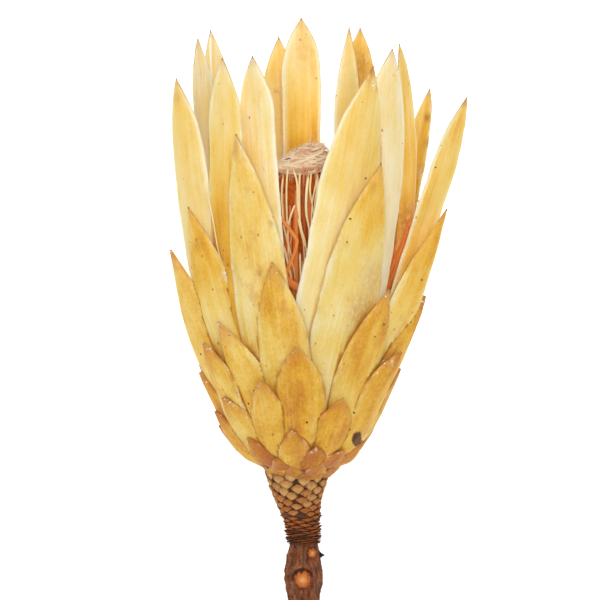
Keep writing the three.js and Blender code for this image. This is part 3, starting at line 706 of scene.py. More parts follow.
def collar_rows():
    random = np.random.default_rng(31)
    rows = []
    for k in range(COLLAR["count"]):
        azimuth = k * 360 / COLLAR["count"] + random.uniform(-5, 5)
        height = COLLAR["height"] + random.uniform(-1, 1) * COLLAR["stray"]
        width = COLLAR["width"] * random.uniform(0.7, 1.2)
        ripe = random.uniform(*COLLAR["ripe"])
        in_front = math.cos(math.radians(azimuth))
        root = WHORLS["collar"]["root"] - 0.5 * in_front + random.uniform(-0.5, 0.5)
        radius = along(CUP, height) - 0.5 - 0.6 * max(0, math.sin(math.radians(azimuth)))
        own = {"root": root}
        rows.append((azimuth, azimuth, height, radius, width, ripe, ripe, own))
    return rows


def shade_tree(neighbours):
    """Writes how deep each point lies between bracts, for painted shade: the share of rays from it that soon
    meet one.
    """
    net = GeometryNet("shade_between_bracts", reach=6.0)
    given = net.given
    target = net.wire(net.put("GeometryNodeObjectInfo", neighbours), "Geometry")
    normal = net.wire(net.put("GeometryNodeInputNormal"))
    start = net.wire(net.put("GeometryNodeInputPosition")) + normal * 0.05
    side = net.work("NORMALIZE", net.work("CROSS_PRODUCT", normal, ANY_DIRECTION))
    other = net.work("CROSS_PRODUCT", normal, side)
    met = 0
    for k in range(SHADE_RAYS):
        share = (k + 0.5) / SHADE_RAYS
        turn = k * math.radians(GOLDEN_ANGLE)
        lean, rise = math.sqrt(share), math.sqrt(1 - share)
        ray = net.put("GeometryNodeRaycast")
        net.feed(ray.inputs["Target Geometry"], target)
        net.feed(ray.inputs["Source Position"], start)
        direction = side * (lean * math.cos(turn)) + other * (lean * math.sin(turn)) + normal * rise
        net.feed(ray.inputs["Ray Direction"], direction)
        net.feed(ray.inputs["Ray Length"], given["reach"])
        met = net.wire(ray, "Is Hit") * (1 - net.wire(ray, "Hit Distance") / given["reach"]) + met
    net.end(net.store(given["geometry"], "shade", met / SHADE_RAYS))
    return net


def mark(mesh, name, whorl, marks):
    """Writes how strongly each point of a whorl is marked, from spots placed as the picture shows them."""
    points = np.array([v.co for v in mesh.vertices])
    bract = np.rint(read_attribute(mesh, "bract"))
    strength = np.zeros(len(points))
    for where, place, across, height, size, amount in marks:
        if where == whorl:
            apart = np.hypot((points[:, 0] - across) * MARK_SLENDER, points[:, 1] - height) / size
            near = np.where(bract == place, 1 - ease(apart), 0)
            strength = np.maximum(strength, near * amount)
    write_attribute(mesh, name, strength)


# Materials.

class ShaderNet(Net):
    """A material's node tree: a colour that is painted over coat by coat, on one shader."""

    def __init__(self, name):
        self.material = bpy.data.materials.new(name)
        self.material.use_nodes = True
        super().__init__(self.material.node_tree)
        self.tree.nodes.clear()
        self.shader = self.put("ShaderNodeBsdfPrincipled")
        output = self.put("ShaderNodeOutputMaterial")
        self.tree.links.new(self.shader.outputs[0], output.inputs["Surface"])
        self.colour = None

    def attributes(self, *names):
        return [self.wire(self.put("ShaderNodeAttribute", attribute_name=name), "Fac") for name in names]

    def place(self):
        """The place in the mesh, in millimetres."""
        return self.wire(self.put("ShaderNodeTexCoord"), "Object") * (1 / MM)

    def ramp(self, value, stops):
        """A colour that goes through the stops' colours as the value goes through their places."""
        node = self.put("ShaderNodeValToRGB", value)
        band = node.color_ramp
        while len(band.elements) < len(stops):
            band.elements.new(0.5)
        for element, (place, *colour) in zip(band.elements, stops):
            element.position = place
            element.color = srgb(*colour)
        return self.wire(node)

    def blend(self, share, first, second):
        """First colour where share is 0, second where it is 1."""
        node = self.put("ShaderNodeMix", data_type="RGBA", clamp_factor=True)
        self.feed(node.inputs["Factor"], share)
        self.feed(node.inputs[6], first)
        self.feed(node.inputs[7], second)
        return self.wire(node, 2)

    def over(self, share, *colour):
        """Paints a colour over the coats that are there, thin where share is near 0."""
        self.colour = self.blend(share, self.colour, srgb(*colour))

    def specks(self, place, spacing, radius, chosen):
        """Round specks, at most one in each cell of a random net, in the chosen share of its cells."""
        node = self.put("ShaderNodeTexVoronoi", place)
        node.inputs["Scale"].default_value = 1 / spacing
        node.inputs["Randomness"].default_value = 1
        lot = self.parts(self.wire(node, "Color"))
        size = radius / spacing * (0.4 + 0.6 * lot[1])
        round_spots = self.span(self.wire(node, "Distance"), size * 1.3, size * 0.7)
        return round_spots * self.work("LESS_THAN", lot[0], chosen)

    def set(self, settings):
        for name, value in settings.items():
            self.feed(self.shader.inputs[name], value)
        return self.material

    def finish(self, relief, depth, settings):
        """Gives the shader its colour, its settings and a relief of a depth in millimetres."""
        node = self.put("ShaderNodeBump")
        self.feed(node.inputs["Distance"], depth * MM)
        self.feed(node.inputs["Height"], relief)
        return self.set({"Base Color": self.colour, "Normal": self.wire(node, "Normal"), **settings})


# A bract's colour as it ripens, from cream to ochre.
STRAW = [
    (0, 245, 232, 194), (0.2, 242, 218, 150), (0.4, 239, 205, 111), (0.6, 232, 182, 66),
    (0.8, 213, 150, 42), (1, 176, 98, 32),
]

# How strongly each whorl shows each of these, the width of its rusty border and the depth of its wrinkles.
LOOKS_OF = [
    "mottle", "grain", "shade", "streaks", "clouds", "ripening", "blush", "lines",
    "pale", "rust", "border", "frost", "specks", "tip", "relief",
]
LOOKS = {
    "long": [0.5, 0.2, 0.26, 0.3, 0.1, 0, 0, 0.25, 0.6, 0.25, 0.5, 0, 0.25, 0.8, 0.3],
    "middle": [0.65, 0.28, 0.55, 0.24, 0.4, 0.2, 0, 0.15, 0.4, 0.2, 0.7, 0.5, 0.75, 0.7, 0.35],
    "short": [0.75, 0.42, 0.42, 0.14, 0.6, 0.45, 0.1, 0.1, 0.15, 0.35, 1.2, 0.9, 0.85, 0.3, 0.45],
    "ovate": [0.75, 0.42, 0.42, 0.14, 0.55, 0.5, 0.15, 0.15, 0.15, 0.55, 1.7, 1, 0.65, 0.1, 0.45],
    "scale": [0.8, 0.5, 0.55, 0.14, 0.6, 0.5, 0.35, 0.15, 0.2, 0.8, 1.7, 1, 0.5, 0, 0.45],
    "collar": [0.9, 0.5, 0.55, 0.2, 0.8, 0.3, 0.7, 0, 0.4, 0.6, 1, 0.6, 0.6, 0, 0.45],
}


def straw_material(whorl):
    """Dry, slightly glossy bract: fine lengthwise fibres, mottles, specks, painted shade between bracts, and
    its own margin and tip.
    """
    net = ShaderNet("straw_" + whorl)
    looks = dict(zip(LOOKS_OF, LOOKS[whorl]))
    half, across, run, left = net.attributes("half", "across", "run", "left")
    seed, tone, shade, hem, fold = net.attributes("seed", "tone", "shade", "hem", "fold")
    stained_and_shaded, frosted, diseased = net.attributes("stain_and_shade", "frost", "lesion")
    margin = half * (1 - net.work("ABSOLUTE", across))
    place = net.vector(across * half + seed * 9, run, seed * 5)
    fibres = net.noise(place * (2.6, 0.05, 1), 3, 0.6)
    streaks = net.noise(place * (0.42, 0.02, 1), 2)
    mottle = net.noise(place * (0.17, 0.08, 1), 3)
    grain = net.noise(place * (1.1, 0.9, 1), 3, 0.65)
    fine = net.noise(place * (3.2, 1.9, 1), 3, 0.65)
    edges = net.noise(place * (0.5, 0.22, 1), 2)
    uneven = (grain - 0.5) * 0.6
    ragged_margin = margin + uneven

    # How ripe it is, deepened by painted shade where rays meet other bracts, and its fibres.
    ripe = tone + shade * looks["shade"] + (streaks - 0.5) * looks["streaks"]
    ripe = ripe + (mottle - 0.5) * looks["mottle"] - net.span(margin, 2.4, 0.2) * 0.12
    ripe = ripe + (fibres - 0.5) * 0.32 + (grain + fine - 1) * looks["grain"]
    net.colour = net.ramp(ripe, STRAW)
    lines = net.span(net.noise(place * (1.5, 0.012, 1), 2), 0.55, 0.72)
    net.over(lines * looks["lines"], 250, 238, 204)

    # Orange clouds, a riper end, painted orange-brown shade where bracts touch, and a pinkish blush.
    clouds = net.span(net.noise(place * (0.24, 0.15, 1), 4, 0.6), 0.54, 0.74)
    net.over(clouds * looks["clouds"], 210, 140, 52)
    net.over(net.span(left + (mottle - 0.5) * 8, 9, 1) * looks["ripening"], 204, 130, 48)
    # Painted shade: orange-brown where rays from a point soon meet another bract.
    net.over(net.span(shade + (grain - 0.5) * 0.12, 0.08, 0.5) * (looks["shade"] * 1.5), 192, 114, 36)
    net.over(net.span(mottle + edges * 0.3, 0.5, 0.8) * looks["blush"], 204, 132, 92)

    # Bleached and pale margins, and a crease: a golden band with a painted highlight along its fold.
    two_sided = net.work("GREATER_THAN", hem, 1.5) + net.work("LESS_THAN", hem, -0.5)
    on_right = net.span(half * (1 - across) + uneven, 1.4, 0.3) * net.work("GREATER_THAN", hem, 0.5)
    on_left = net.span(half * (1 + across) + uneven, 1.4, 0.3) * two_sided
    bleached = net.work("MAXIMUM", on_right, on_left) * net.span(left, 3, 12) * 0.7
    pale = net.span(ragged_margin, 1.0, 0.1) * net.span(edges, 0.42, 0.7) * looks["pale"]
    net.over(net.work("MAXIMUM", bleached, pale), 250, 240, 214)
    crease = net.work("ABSOLUTE", across - fold + (streaks - 0.5) * 0.3) * half
    net.over(net.span(crease, 3, 0.8) * 0.6, 246, 212, 112)
    # Painted highlight: a near-white line along the fold.
    net.over(net.span(crease, 0.7, 0.2), 255, 252, 240)

    # Rusty border, brown stains with painted shade among them, and the tip with its dark outline.
    rust = net.span(ragged_margin, looks["border"], 0.1) * net.span(edges, 0.6, 0.42)
    net.over(rust * looks["rust"], 176, 104, 50)
    # Brown marks: real stains, and painted shade and painted shadow between bracts.
    net.over(stained_and_shaded * net.span(net.noise(place * (0.8, 0.6, 1), 3), 0.25, 0.6), 180, 108, 46)
    net.over(net.span(left + (grain - 0.5) * 3, 4.5, 0.5) * 0.4, 190, 132, 62)
    outlined = net.span(margin + uneven * 0.3, 0.4, 0.1) * net.span(left, 18, 3) * net.span(edges, 0.4, 0.55)
    net.over(outlined * looks["tip"] * 0.7, 142, 92, 50)
    net.over(net.span(left, 0.9, 0.3) * looks["tip"], 96, 66, 44)

    # Dark and reddish specks, white down and nearly black lesions.
    ragged = place + grain * 0.7
    large, small = net.specks(ragged, 5.2, 0.4, looks["specks"]), net.specks(ragged, 2.6, 0.2, 0.25)
    net.over(net.work("MAXIMUM", large, small), 70, 34, 12)
    net.over(net.specks(ragged * (1, 0.7, 1) + (40, 0, 0), 2.8, 0.36, looks["specks"]) * 0.6, 168, 76, 34)
    frosty = net.specks(place + (0, 70, 0), 0.9, 0.27, 0.7) * net.span(ragged_margin, 1.5, 0.4)
    frosty = frosty * net.span(edges + net.span(left, 7, 1) * 0.12, 0.46, 0.56) * looks["frost"]
    down = frosted * net.span(net.noise(place * (1.8, 1.8, 1), 2), 0.42, 0.55)
    net.over(net.work("MAXIMUM", frosty, down), 252, 244, 230)
    net.over(net.span(diseased + (grain - 0.5) * 0.8, 0.22, 0.5) * 0.95, 88, 42, 20)

    dents = net.noise(place * (0.22, 0.09, 1), 2)
    relief = fibres * 0.35 + net.noise(place * (0.9, 0.02, 1), 2) * 0.7 + grain * 0.3 + dents * 3
    return net.finish(relief, looks["relief"], {
        "Roughness": net.span(fibres, 0.3, 0.7, 0.44, 0.6, "LINEAR"), "Specular IOR Level": 0.1,
        "Subsurface Weight": 0.5, "Subsurface Radius": (1, 0.85, 0.5), "Subsurface Scale": 0.8 * MM,
    })


def neck_material():
    """Tan pads, rusty towards the stem and browner at their tops, with painted shade at rims and undersides.
    """
    net = ShaderNet("neck_pads")
    place = net.place()
    low, lot, up, sideways, rim, inward = net.attributes("low", "lot", "up", "sideways", "rim", "inward")
    grain = net.noise(place, 4, 0.6, 0.6)
    streak = net.noise(net.vector(sideways * 3 + lot * 40, up * 0.6), 3)
    net.colour = net.ramp(low + (lot - 0.5) * 0.3 + (grain - 0.5) * 0.3, [
        (0, 222, 180, 114), (0.35, 204, 150, 86), (0.55, 190, 112, 54), (0.8, 168, 86, 36), (1, 134, 70, 34),
    ])
    net.over(net.span(up + (grain - 0.5) * 0.5, 0.35, 0.95) * 0.6, 158, 86, 38)
    net.over(net.span(up + (grain - 0.5) * 0.3, 0.4, 0.05) * 0.5, 214, 178, 124)
    net.over(net.span(streak, 0.4, 0.75) * 0.35, 128, 70, 34)
    dead = net.span(lot + low, 1.45, 1.55) * net.span(grain, 0.25, 0.45)
    net.over(dead * 0.85, 66, 56, 48)
    # Painted shade: darker brown round each pad's rim, where the pads meet.
    edge = net.span(rim + (grain - 0.5) * 0.5, 0.35, 0.95)
    net.over(edge * 0.75, 122, 68, 36)
    net.over(net.span(net.noise(place * (1.5, 1.5, 1.5), 2), 0.6, 0.7) * edge * 0.5, 214, 154, 116)
    # Painted shade: near-black on the pads' undersides, seen in the gaps between them.
    net.over(net.span(inward, 0.1, 0.4), 46, 26, 16)
    return net.finish(grain + streak * 0.6, 0.35, {"Roughness": 0.75, "Specular IOR Level": 0.15})


def dark_material(name, *colour):
    """Dull, grainy stuff in deep shade, browner in patches."""
    net = ShaderNet(name)
    grain = net.noise(net.place(), 3, 0.6, 1.5)
    net.colour = srgb(*colour)
    net.over(net.span(grain, 0.35, 0.8) * 0.7, 52, 28, 16)
    return net.finish(grain, 0.3, {"Roughness": 0.9, "Specular IOR Level": 0.1})


def bark_material():
    """Reddish-brown bark with lengthwise cracks and pale flecks, and pale wood at the cut."""
    net = ShaderNet("bark")
    turn, up, cut, scorch, radial = net.attributes("turn", "up", "cut", "scorch", "radial")
    ring = net.vector(net.work("COSINE", turn) * 5, up, net.work("SINE", turn) * 5)
    cracks = net.noise(ring * (1.5, 0.6, 1.5), 5, 0.72)
    patches = net.noise(ring * (0.4, 0.3, 0.4), 3)
    grain = net.noise(ring * (3, 3, 3), 3, 0.6)
    net.colour = net.ramp(cracks * 0.8 + patches * 0.5 - 0.15, [
        (0.3, 54, 26, 16), (0.42, 108, 58, 34), (0.52, 138, 80, 50), (0.7, 172, 114, 80),
    ])
    net.over(net.span(net.noise(ring * (0.5, 0.4, 0.5), 3), 0.56, 0.68) * 0.6, 122, 100, 84)
    net.over(net.specks(ring * (1, 0.6, 1), 2.2, 0.42, 0.4) * 0.6, 196, 108, 52)
    net.over(net.span(grain, 0.6, 0.7) * 0.55, 58, 36, 28)
    net.over(net.span(scorch + (grain - 0.5) * 0.9, 0.35, 0.85) * 0.8, 50, 30, 20)
    wood = net.ramp(radial + (grain - 0.5) * 0.1, [
        (0, 140, 92, 56), (0.14, 226, 190, 142), (0.75, 214, 172, 120), (0.93, 160, 108, 74),
    ])
    net.colour = net.blend(cut, net.colour, wood)
    return net.finish(cracks + grain * 0.4, 0.6, {"Roughness": 0.8, "Specular IOR Level": 0.15})


def scar_material():
    """Orange wood of a broken side shoot, pale at its heart and charred at its rim."""
    net = ShaderNet("shoot_scar")
    grain = net.noise(net.place(), 4, 0.65, 0.5)
    net.colour = net.ramp(net.attributes("radial")[0] + (grain - 0.5) * 0.9, [
        (0, 248, 196, 138), (0.3, 234, 152, 74), (0.62, 214, 114, 34), (0.9, 172, 80, 20), (1, 90, 44, 20),
    ])
    return net.finish(grain, 0.5, {"Roughness": 0.6})


def floret_material():
    """Dry rust-coloured strips of varied depth, pinkish where they meet the wool."""
    net = ShaderNet("floret_rust")
    across, half, run, seed, tone, share = net.attributes("across", "half", "run", "seed", "tone", "share")
    place = net.vector(across * half + seed * 7, run, seed)
    fibres = net.noise(place * (3.5, 0.08, 1), 3, 0.6)
    mottle = net.noise(place * (0.4, 0.12, 1), 2)
    net.colour = net.ramp(tone + (fibres - 0.5) * 0.4 + (mottle - 0.5) * 0.4, [
        (0, 140, 60, 20), (0.35, 196, 98, 32), (0.65, 226, 118, 40), (1, 244, 154, 74),
    ])
    net.over(net.span(share + (mottle - 0.5) * 0.3, 0.86, 1.05) * 0.6, 244, 176, 132)
    return net.finish(fibres, 0.2, {
        "Roughness": 0.62, "Subsurface Weight": 0.2, "Subsurface Radius": (1, 0.6, 0.3),
        "Subsurface Scale": 0.6 * MM,
    })


def style_material():
    """Smooth cream rods, a little browner at their ends."""
    net = ShaderNet("style_cream")
    across, run, seed, tone, share = net.attributes("across", "run", "seed", "tone", "share")
    streak = net.noise(net.vector(across * 2 + seed * 7, run * 0.12, seed), 2)
    net.colour = net.ramp(tone + (streak - 0.5) * 0.5, [
        (0, 254, 240, 198), (0.5, 250, 228, 170), (1, 240, 186, 118),
    ])
    net.over(net.span(share, 0.12, 0) * 0.6, 206, 150, 84)
    return net.finish(streak, 0.15, {"Roughness": 0.45})


def wool_material(name, light, deep, combed=False):
    """Matted fawn wool of paler and deeper strands, combed along the paths of its locks or swirling."""
    net = ShaderNet(name)
    place = net.place()
    tufts = net.noise(place, 3, 0.6, 2.4)
    if combed:
        across, half, run, seed, lot = net.attributes("across", "half", "run", "seed", "tone")
        strands = net.noise(net.vector(across * half * 5, run * 0.25, seed), 2, 0.6)
    else:
        sway = place + net.vector(0, net.noise(place, 1, 0.5, 5) * 5, 0)
        strands = net.noise(sway * (0.32, 2.6, 0.32), 3, 0.65)
        lot = net.attributes("lot")[0]
    net.colour = srgb(*deep)
    net.over(net.span(tufts * 0.4 + strands * 0.6 + lot * 0.4, 0.4, 0.9), *light)
    return net.finish(strands, 0.25, {"Roughness": 0.8, "Specular IOR Level": 0.2, "Sheen Weight": 0.2})


# The involucre: five whorls of bracts and a ragged collar, on a bowl.

def involucre(sweep):
    whorls = {**BRACTS, "collar": collar_rows()}
    meshes = {}
    for whorl, rows in whorls.items():
        paths = [bract_path(whorl, place, row) for place, row in enumerate(rows)]
        is_long = whorl in ("long", "middle")
        is_small = whorl in ("scale", "collar")
        meshes[whorl] = grown(
            whorl + "_bracts", paths_mesh(whorl, paths), sweep, straw_material(whorl),
            section_points=26 if is_small else 44, wobble=0.16 if is_small else 0.07,
            wobble_length=3.0 if is_small else 11.0, ripple=0.75 if is_long else 0.4,
            crinkle=0.35 if is_long else 0.22, keel=0.1 if is_long else 0.25,
        )
        face_out(meshes[whorl])
    neighbours = link(bpy.data.objects.new("neighbours", joined("neighbours", meshes.values())))
    shade = shade_tree(neighbours)
    for whorl, mesh in meshes.items():
        shaded = grown(whorl + "_bracts", mesh, shade, mesh.materials[0])
        for name, marks in (("stain_and_shade", STAINS_AND_SHADE), ("frost", FROSTS), ("lesion", LESIONS)):
            mark(shaded, name, whorl, marks)
        finish_piece(whorl + "_bracts", shaded, "involucre")
    bpy.data.objects.remove(neighbours)
    bowl = lathe("bowl", [(r, h, 0) for r, h in BOWL], 64)
    finish_piece("cup_floor", bowl, "involucre", dark_material("cup_floor", 150, 92, 48))


# The neck: the pads of fallen bracts on a dark core.

def neck_pad():
    """One low pad, 1 wide and 1 tall round the origin, facing +z: a sharp foot and a blunt, raised top."""
    ups = [0, 0.18, 0.42, 0.68, 0.9, 1]
    halves = [0.02, 0.2, 0.42, 0.5, 0.31, 0.1]
    columns = 5
    points = []
    facts = []
    for inward in (0, 1):
        for up, half in zip(ups, halves):
            for k in range(columns):
                across = 2 * k / (columns - 1) - 1
                swell = 0.02 + 0.15 * up + 0.1 * (1 - across**2) * math.sin(math.pi * up * 0.85)
                level = -0.3 if inward else swell * (1 - 0.35 * across**2)
                points.append((half * across, up - 0.5 - 0.06 * across**2 * up, level))
                facts.append((up, across, max(across**4, (2 * up - 1) ** 6), inward))
    half_count = len(ups) * columns
    faces = []
    for i in range(len(ups) - 1):
        for k in range(columns - 1):
            a = i * columns + k
            quad = (a, a + 1, a + columns + 1, a + columns)
            faces += [quad, tuple(half_count + j for j in reversed(quad))]
    loop = list(range(columns))
    loop += [i * columns + columns - 1 for i in range(1, len(ups))]
    loop += [(len(ups) - 1) * columns + k for k in range(columns - 2, -1, -1)]
    loop += [i * columns for i in range(len(ups) - 2, 0, -1)]
    for a, b in zip(loop, loop[1:] + loop[:1]):
        faces.append((b, a, half_count + a, half_count + b))
    mesh = mesh_of("neck_pad", points, faces)
    for name, column in zip(("up", "sideways", "rim", "inward"), np.array(facts).T):
        write_attribute(mesh, name, column)
    return mesh


def float_curve(net, value, table, column, size):
    """Reads a column of a table by height, as a share of its run, divided by a size."""
    node = net.put("ShaderNodeFloatCurve", 1.0, value)
    top, bottom = table[0][0], table[-1][0]
    curve = node.mapping.curves[0]
    points = [((row[0] - bottom) / (top - bottom), row[column] / size) for row in reversed(table)]
    node.mapping.clip_min_y = -1
    curve.points[0].location, curve.points[1].location = points[0], points[-1]
    for place in points[1:-1]:
        curve.points.new(*place)
    node.mapping.update()
    return net.wire(node) * size


def lattice_tree():
    """Sets copies of a pad on a tapering stalk by the golden angle, flatter and closer lower down."""
    net = GeometryNet(
        "pads_round_neck", count=100, bottom=-21.0, top=0.0, width=4.0, fill=1.2, crowding=1.5, tilt=12.0,
    )
    given = net.given
    points = net.wire(net.put("GeometryNodePoints", given["count"]))
    order = (net.index() + 4) / given["count"]
    rise = order ** given["crowding"]
    run = given["top"] - given["bottom"]
    height = given["bottom"] + run * rise
    share = (height - NECK[-1][0]) / (NECK[0][0] - NECK[-1][0])
    radius = float_curve(net, share, NECK, 1, 10)
    drift = float_curve(net, share, NECK, 2, 10)
    turn = net.index() * -math.radians(GOLDEN_ANGLE) + net.random(-0.06, 0.06, 3)
    stand = radius - 0.55
    position = net.vector(net.work("SINE", turn) * stand + drift, height, net.work("COSINE", turn) * stand)
    placed = net.moved(points, position)
    slender = (radius / NECK[0][1]) ** 0.45
    width = given["width"] * slender * net.span(rise, 0.1, 0.4, 1.35, 1) * net.random(0.9, 1.08, 7)
    step = run * given["crowding"] / given["count"] * order ** (given["crowding"] - 1)
    tall = given["fill"] * net.span(rise, 0.15, 0.6, 0.6, 1) * math.tau * radius * step / width
    tall = tall * net.random(0.85, 1.1, 9)
    tilt = given["tilt"] * net.span(rise, 0, 0.7, 0.4, 1) * net.random(0.7, 1.3, 5) * math.radians(1)
    rotation = net.vector(tilt, turn, net.random(-0.12, 0.12, 11))
    pads = net.copies(placed, given["geometry"], rotation, net.vector(width, tall, width * 0.9))
    pads = net.store(pads, "low", 1 - rise, domain="INSTANCE")
    net.end(net.store(pads, "lot", net.random(0, 1, 13), domain="INSTANCE"))
    return net


def neck():
    mesh = grown("neck_pads", neck_pad(), lattice_tree(), neck_material(), **NECK_PAD)
    finish_piece("neck_pads", mesh, "neck")
    core = [(0, NECK[0][0], NECK[0][2])]
    core += [(radius - 0.65, height, drift) for height, radius, drift in NECK]
    core += [(0, NECK[-1][0], NECK[-1][2])]
    finish_piece("neck_core", lathe("neck_core", core, 48), "neck", dark_material("neck_core", 92, 64, 44))
    stubs = joined("neck_stubs", [stub_mesh(azimuth, height) for azimuth, height in NECK_STUBS])
    finish_piece("neck_stubs", stubs, "neck", dark_material("dead_stubs", 62, 44, 34))


def stub_mesh(azimuth, height):
    """A small dead thorn that leans up out of the neck."""
    out = around(azimuth, 1, 0)
    up = np.array((0.0, 1.0, 0.0))
    side = np.cross(up, out)
    foot = out * (along(NECK, height) - 0.9) + (along(NECK, height, 2), height, 0)
    sides = 6
    points = []
    for reach, lift in ((0.55, 0), (0.5, 0.7), (0.26, 1.2), (0.04, 1.6)):
        for k in range(sides):
            a = math.tau * k / sides
            rise = 0.35 * lift + reach * math.sin(a)
            points.append(foot + out * lift + up * rise + side * reach * math.cos(a))
    return ring_mesh("stub", points, sides)


# The stem: bark with the scars of side shoots, down to a plain cut.

def stem_radius(height, azimuths):
    """Radius of the bark: lumps and cracks that fade towards its ends, and a collar round each scar."""
    radius = np.full(len(azimuths), along(STEM, height))
    below_neck = 0.25 + 0.75 * ease((STEM[0][0] - height) / 3)
    near_cut = 0.25 + 0.75 * ease((height - STEM[-1][0]) / 5)
    for k, a in enumerate(np.radians(azimuths)):
        turned = Vector((5 * math.cos(a), height, 5 * math.sin(a)))
        cracks = noise.fractal(turned * Vector((1.3, 0.5, 1.3)), 0.8, 2.1, 4)
        radius[k] += (0.5 * noise.noise(turned * 0.35) + 0.32 * cracks) * below_neck * near_cut
    for scar in (SIDE_SCAR, SMALL_SCAR):
        sideways = np.radians((azimuths - scar["azimuth"] + 180) % 360 - 180) * along(STEM, scar["height"])
        apart = np.hypot(sideways, height - scar["height"]) / scar["radius"]
        radius += 0.5 * np.exp(-(((apart - 1.45) / 0.4) ** 2)) - 0.5 * np.exp(-((apart / 1.05) ** 4))
    return radius


def on_bark(scar):
    """The middle of a scar, on the stem's plain outline."""
    height = scar["height"]
    return around(scar["azimuth"], along(STEM, height), height) + (along(STEM, height, 2), 0, 0)


def bark_mesh():
    """Rings down the stem, then smaller ones over its cut end."""
    sides, rings = 110, 120
    heights = np.linspace(STEM[0][0], STEM[-1][0], rings)
    azimuths = np.arange(sides) * 360 / sides
    end = heights[-1]
    # Each level: its height on the stem, radius, height of its ring, 1 on the cut, share of the radius.
    levels = [(height, stem_radius(height, azimuths), height, 0, 1) for height in heights]
    for share in (0.985, 0.7, 0.4, 0.15):
        levels.append((end, along(STEM, end) * share, end - 0.02 + 0.1 * (1 - share), 1, share))
    points = []
    facts = []
    for height, radius, level, cut, share in levels:
        points.extend(around(azimuths, radius, level) + (along(STEM, height, 2), 0, 0))
        facts += [(math.radians(a), height, cut, share) for a in azimuths]
    mesh = ring_mesh("stem_bark", points, sides)
    for name, column in zip(("turn", "up", "cut", "radial"), np.array(facts).T):
        write_attribute(mesh, name, column)
    return mesh


def scorched(mesh):
    """How charred the bark is at each point: in an arc above a scar."""
    spots = np.array([v.co for v in mesh.vertices])
    scorch = np.zeros(len(spots))
    for scar, reach in ((SIDE_SCAR, 1.7), (SPUR, 1.3)):
        centre = on_bark(scar)
        apart = np.linalg.norm(spots - centre, axis=1) / scar["radius"]
        above = 0.5 + 0.5 * np.clip((spots[:, 1] - centre[1]) / scar["radius"], -1, 1)
        scorch = np.maximum(scorch, above * np.exp(-(((apart - reach * 0.72) / 0.32) ** 2)))
    return scorch


def stem():
    mesh = bark_mesh()
    write_attribute(mesh, "scorch", scorched(mesh))
    finish_piece("stem_bark", mesh, "stem", bark_material())
    wood = scar_material()
    finish_piece("side_shoot_scar", scar_mesh(SIDE_SCAR, 0.36), "stem", wood)
    finish_piece("small_shoot_scar", scar_mesh(SMALL_SCAR, 0.4), "stem", wood)
    spur = scar_mesh(SPUR, 0.15, end=0.3)
    finish_piece("dead_spur", spur, "stem", dark_material("dead_spur", 46, 34, 30))


def scar_mesh(scar, roughness, end=0.8):
    """A low, splintered disc of wood that stands out of the bark."""
    random = np.random.default_rng(int(abs(scar["height"]) * 10))
    sides = 26
    out = around(scar["azimuth"], 1, 0)
    centre = on_bark(scar)
    up = np.array((0.0, 1.0, 0.0))
    side = np.cross(up, out)
    levels = [(1.08, -1.8), (1.02, 0.1), (end, 0.75), (end * 0.78, 1), (end * 0.5, 0.9), (end * 0.2, 0.95)]
    points = []
    radial = []
    for reach, level in levels:
        for k in range(sides):
            a = 2 * math.pi * k / sides
            spiked = 0.45 + 1.3 * max(0, math.sin(a))
            jag = 1 + roughness * (random.random() - 0.4) * spiked * (level > 0)
            r = scar["radius"] * reach * jag
            lift = scar["proud"] * level if level > 0 else level
            lift += roughness * 0.7 * (random.random() - 0.5) * (level > 0.2)
            points.append(centre + side * r * math.cos(a) + up * r * math.sin(a) + out * lift)
            radial.append(min(1, reach))
    mesh = ring_mesh("scar", points, sides)
    write_attribute(mesh, "radial", radial)
    return mesh


# The florets: rust strips round a core, cream styles among them, and wool on top.

def florets(sweep):
    random = np.random.default_rng(11)
    paths = []
    for k in range(STRIPS["count"]):
        azimuth = k * 360 / STRIPS["count"] + random.uniform(-4, 4)
        over_wool = TALL_STRIPS["from"] < azimuth < TALL_STRIPS["to"]
        top = STRIPS["top"] - STRIPS["spread"] * random.random() ** 2
        top = top + TALL_STRIPS["higher"] if over_wool else top
        stand = random.uniform(0.1, 0.9)
        heights = np.linspace(STRIPS["bottom"], top, 6)
        drift = azimuth + np.cumsum(random.uniform(-3, 3, 6))
        away = TALL_STRIPS["out"] * over_wool * ease((heights - TALL_STRIPS["leave"]) / TALL_STRIPS["over"])
        stands = stand + 0.3 * random.random(6) + away
        points = [around(a, along(CORE, h) + out, h) for a, h, out in zip(drift, heights, stands)]
        middle = smooth_path(points, 16)
        half = STRIPS["width"] / 2 * random.uniform(0.6, 1.3) * (1 - 0.6 * np.linspace(0, 1, 16) ** 4)
        out = middle * (1, 0, 1) + 0.4 * random.normal(size=3) * along(CORE, 50)
        paths.append(stations(middle, out, half, random.uniform(0.1, 0.95), 3, STRIPS["thick"], k * 1.3))
    for number, ribbon in enumerate([CURLED_RIBBON, *SIDE_RIBBONS]):
        middle = smooth_path(ribbon, 60)
        share = np.linspace(0, 1, 60)
        swing = np.column_stack([0.45 * np.sin(9 * share + number), 0 * share, 1 + 0 * share])
        half = RIBBON["half"] * (1 - 0.75 * share**6) * (0.85 + 0.3 * np.sin(7 * share + 2 * number))
        half = half * (RIBBON["slender"] if number else 1)
        tone = 0.65 if number else 0.9
        paths.append(stations(middle, swing, half, tone, 2.4, RIBBON["thick"], 80 + number))
    mesh = grown(
        "floret_strips", paths_mesh("strips", paths), sweep, floret_material(),
        section_points=12, ripple=0.12, ripple_length=9.0, crinkle=0.1, keel=0.0,
    )
    finish_piece("floret_strips", mesh, "florets")
    profile = [(0, CORE[0][0], 0), *[(radius, height, 0) for height, radius in CORE], (0, CORE[-1][0], 0)]
    core = lathe("floret_core", profile, 48)
    finish_piece("floret_core", core, "florets", dark_material("floret_core", 200, 98, 34))


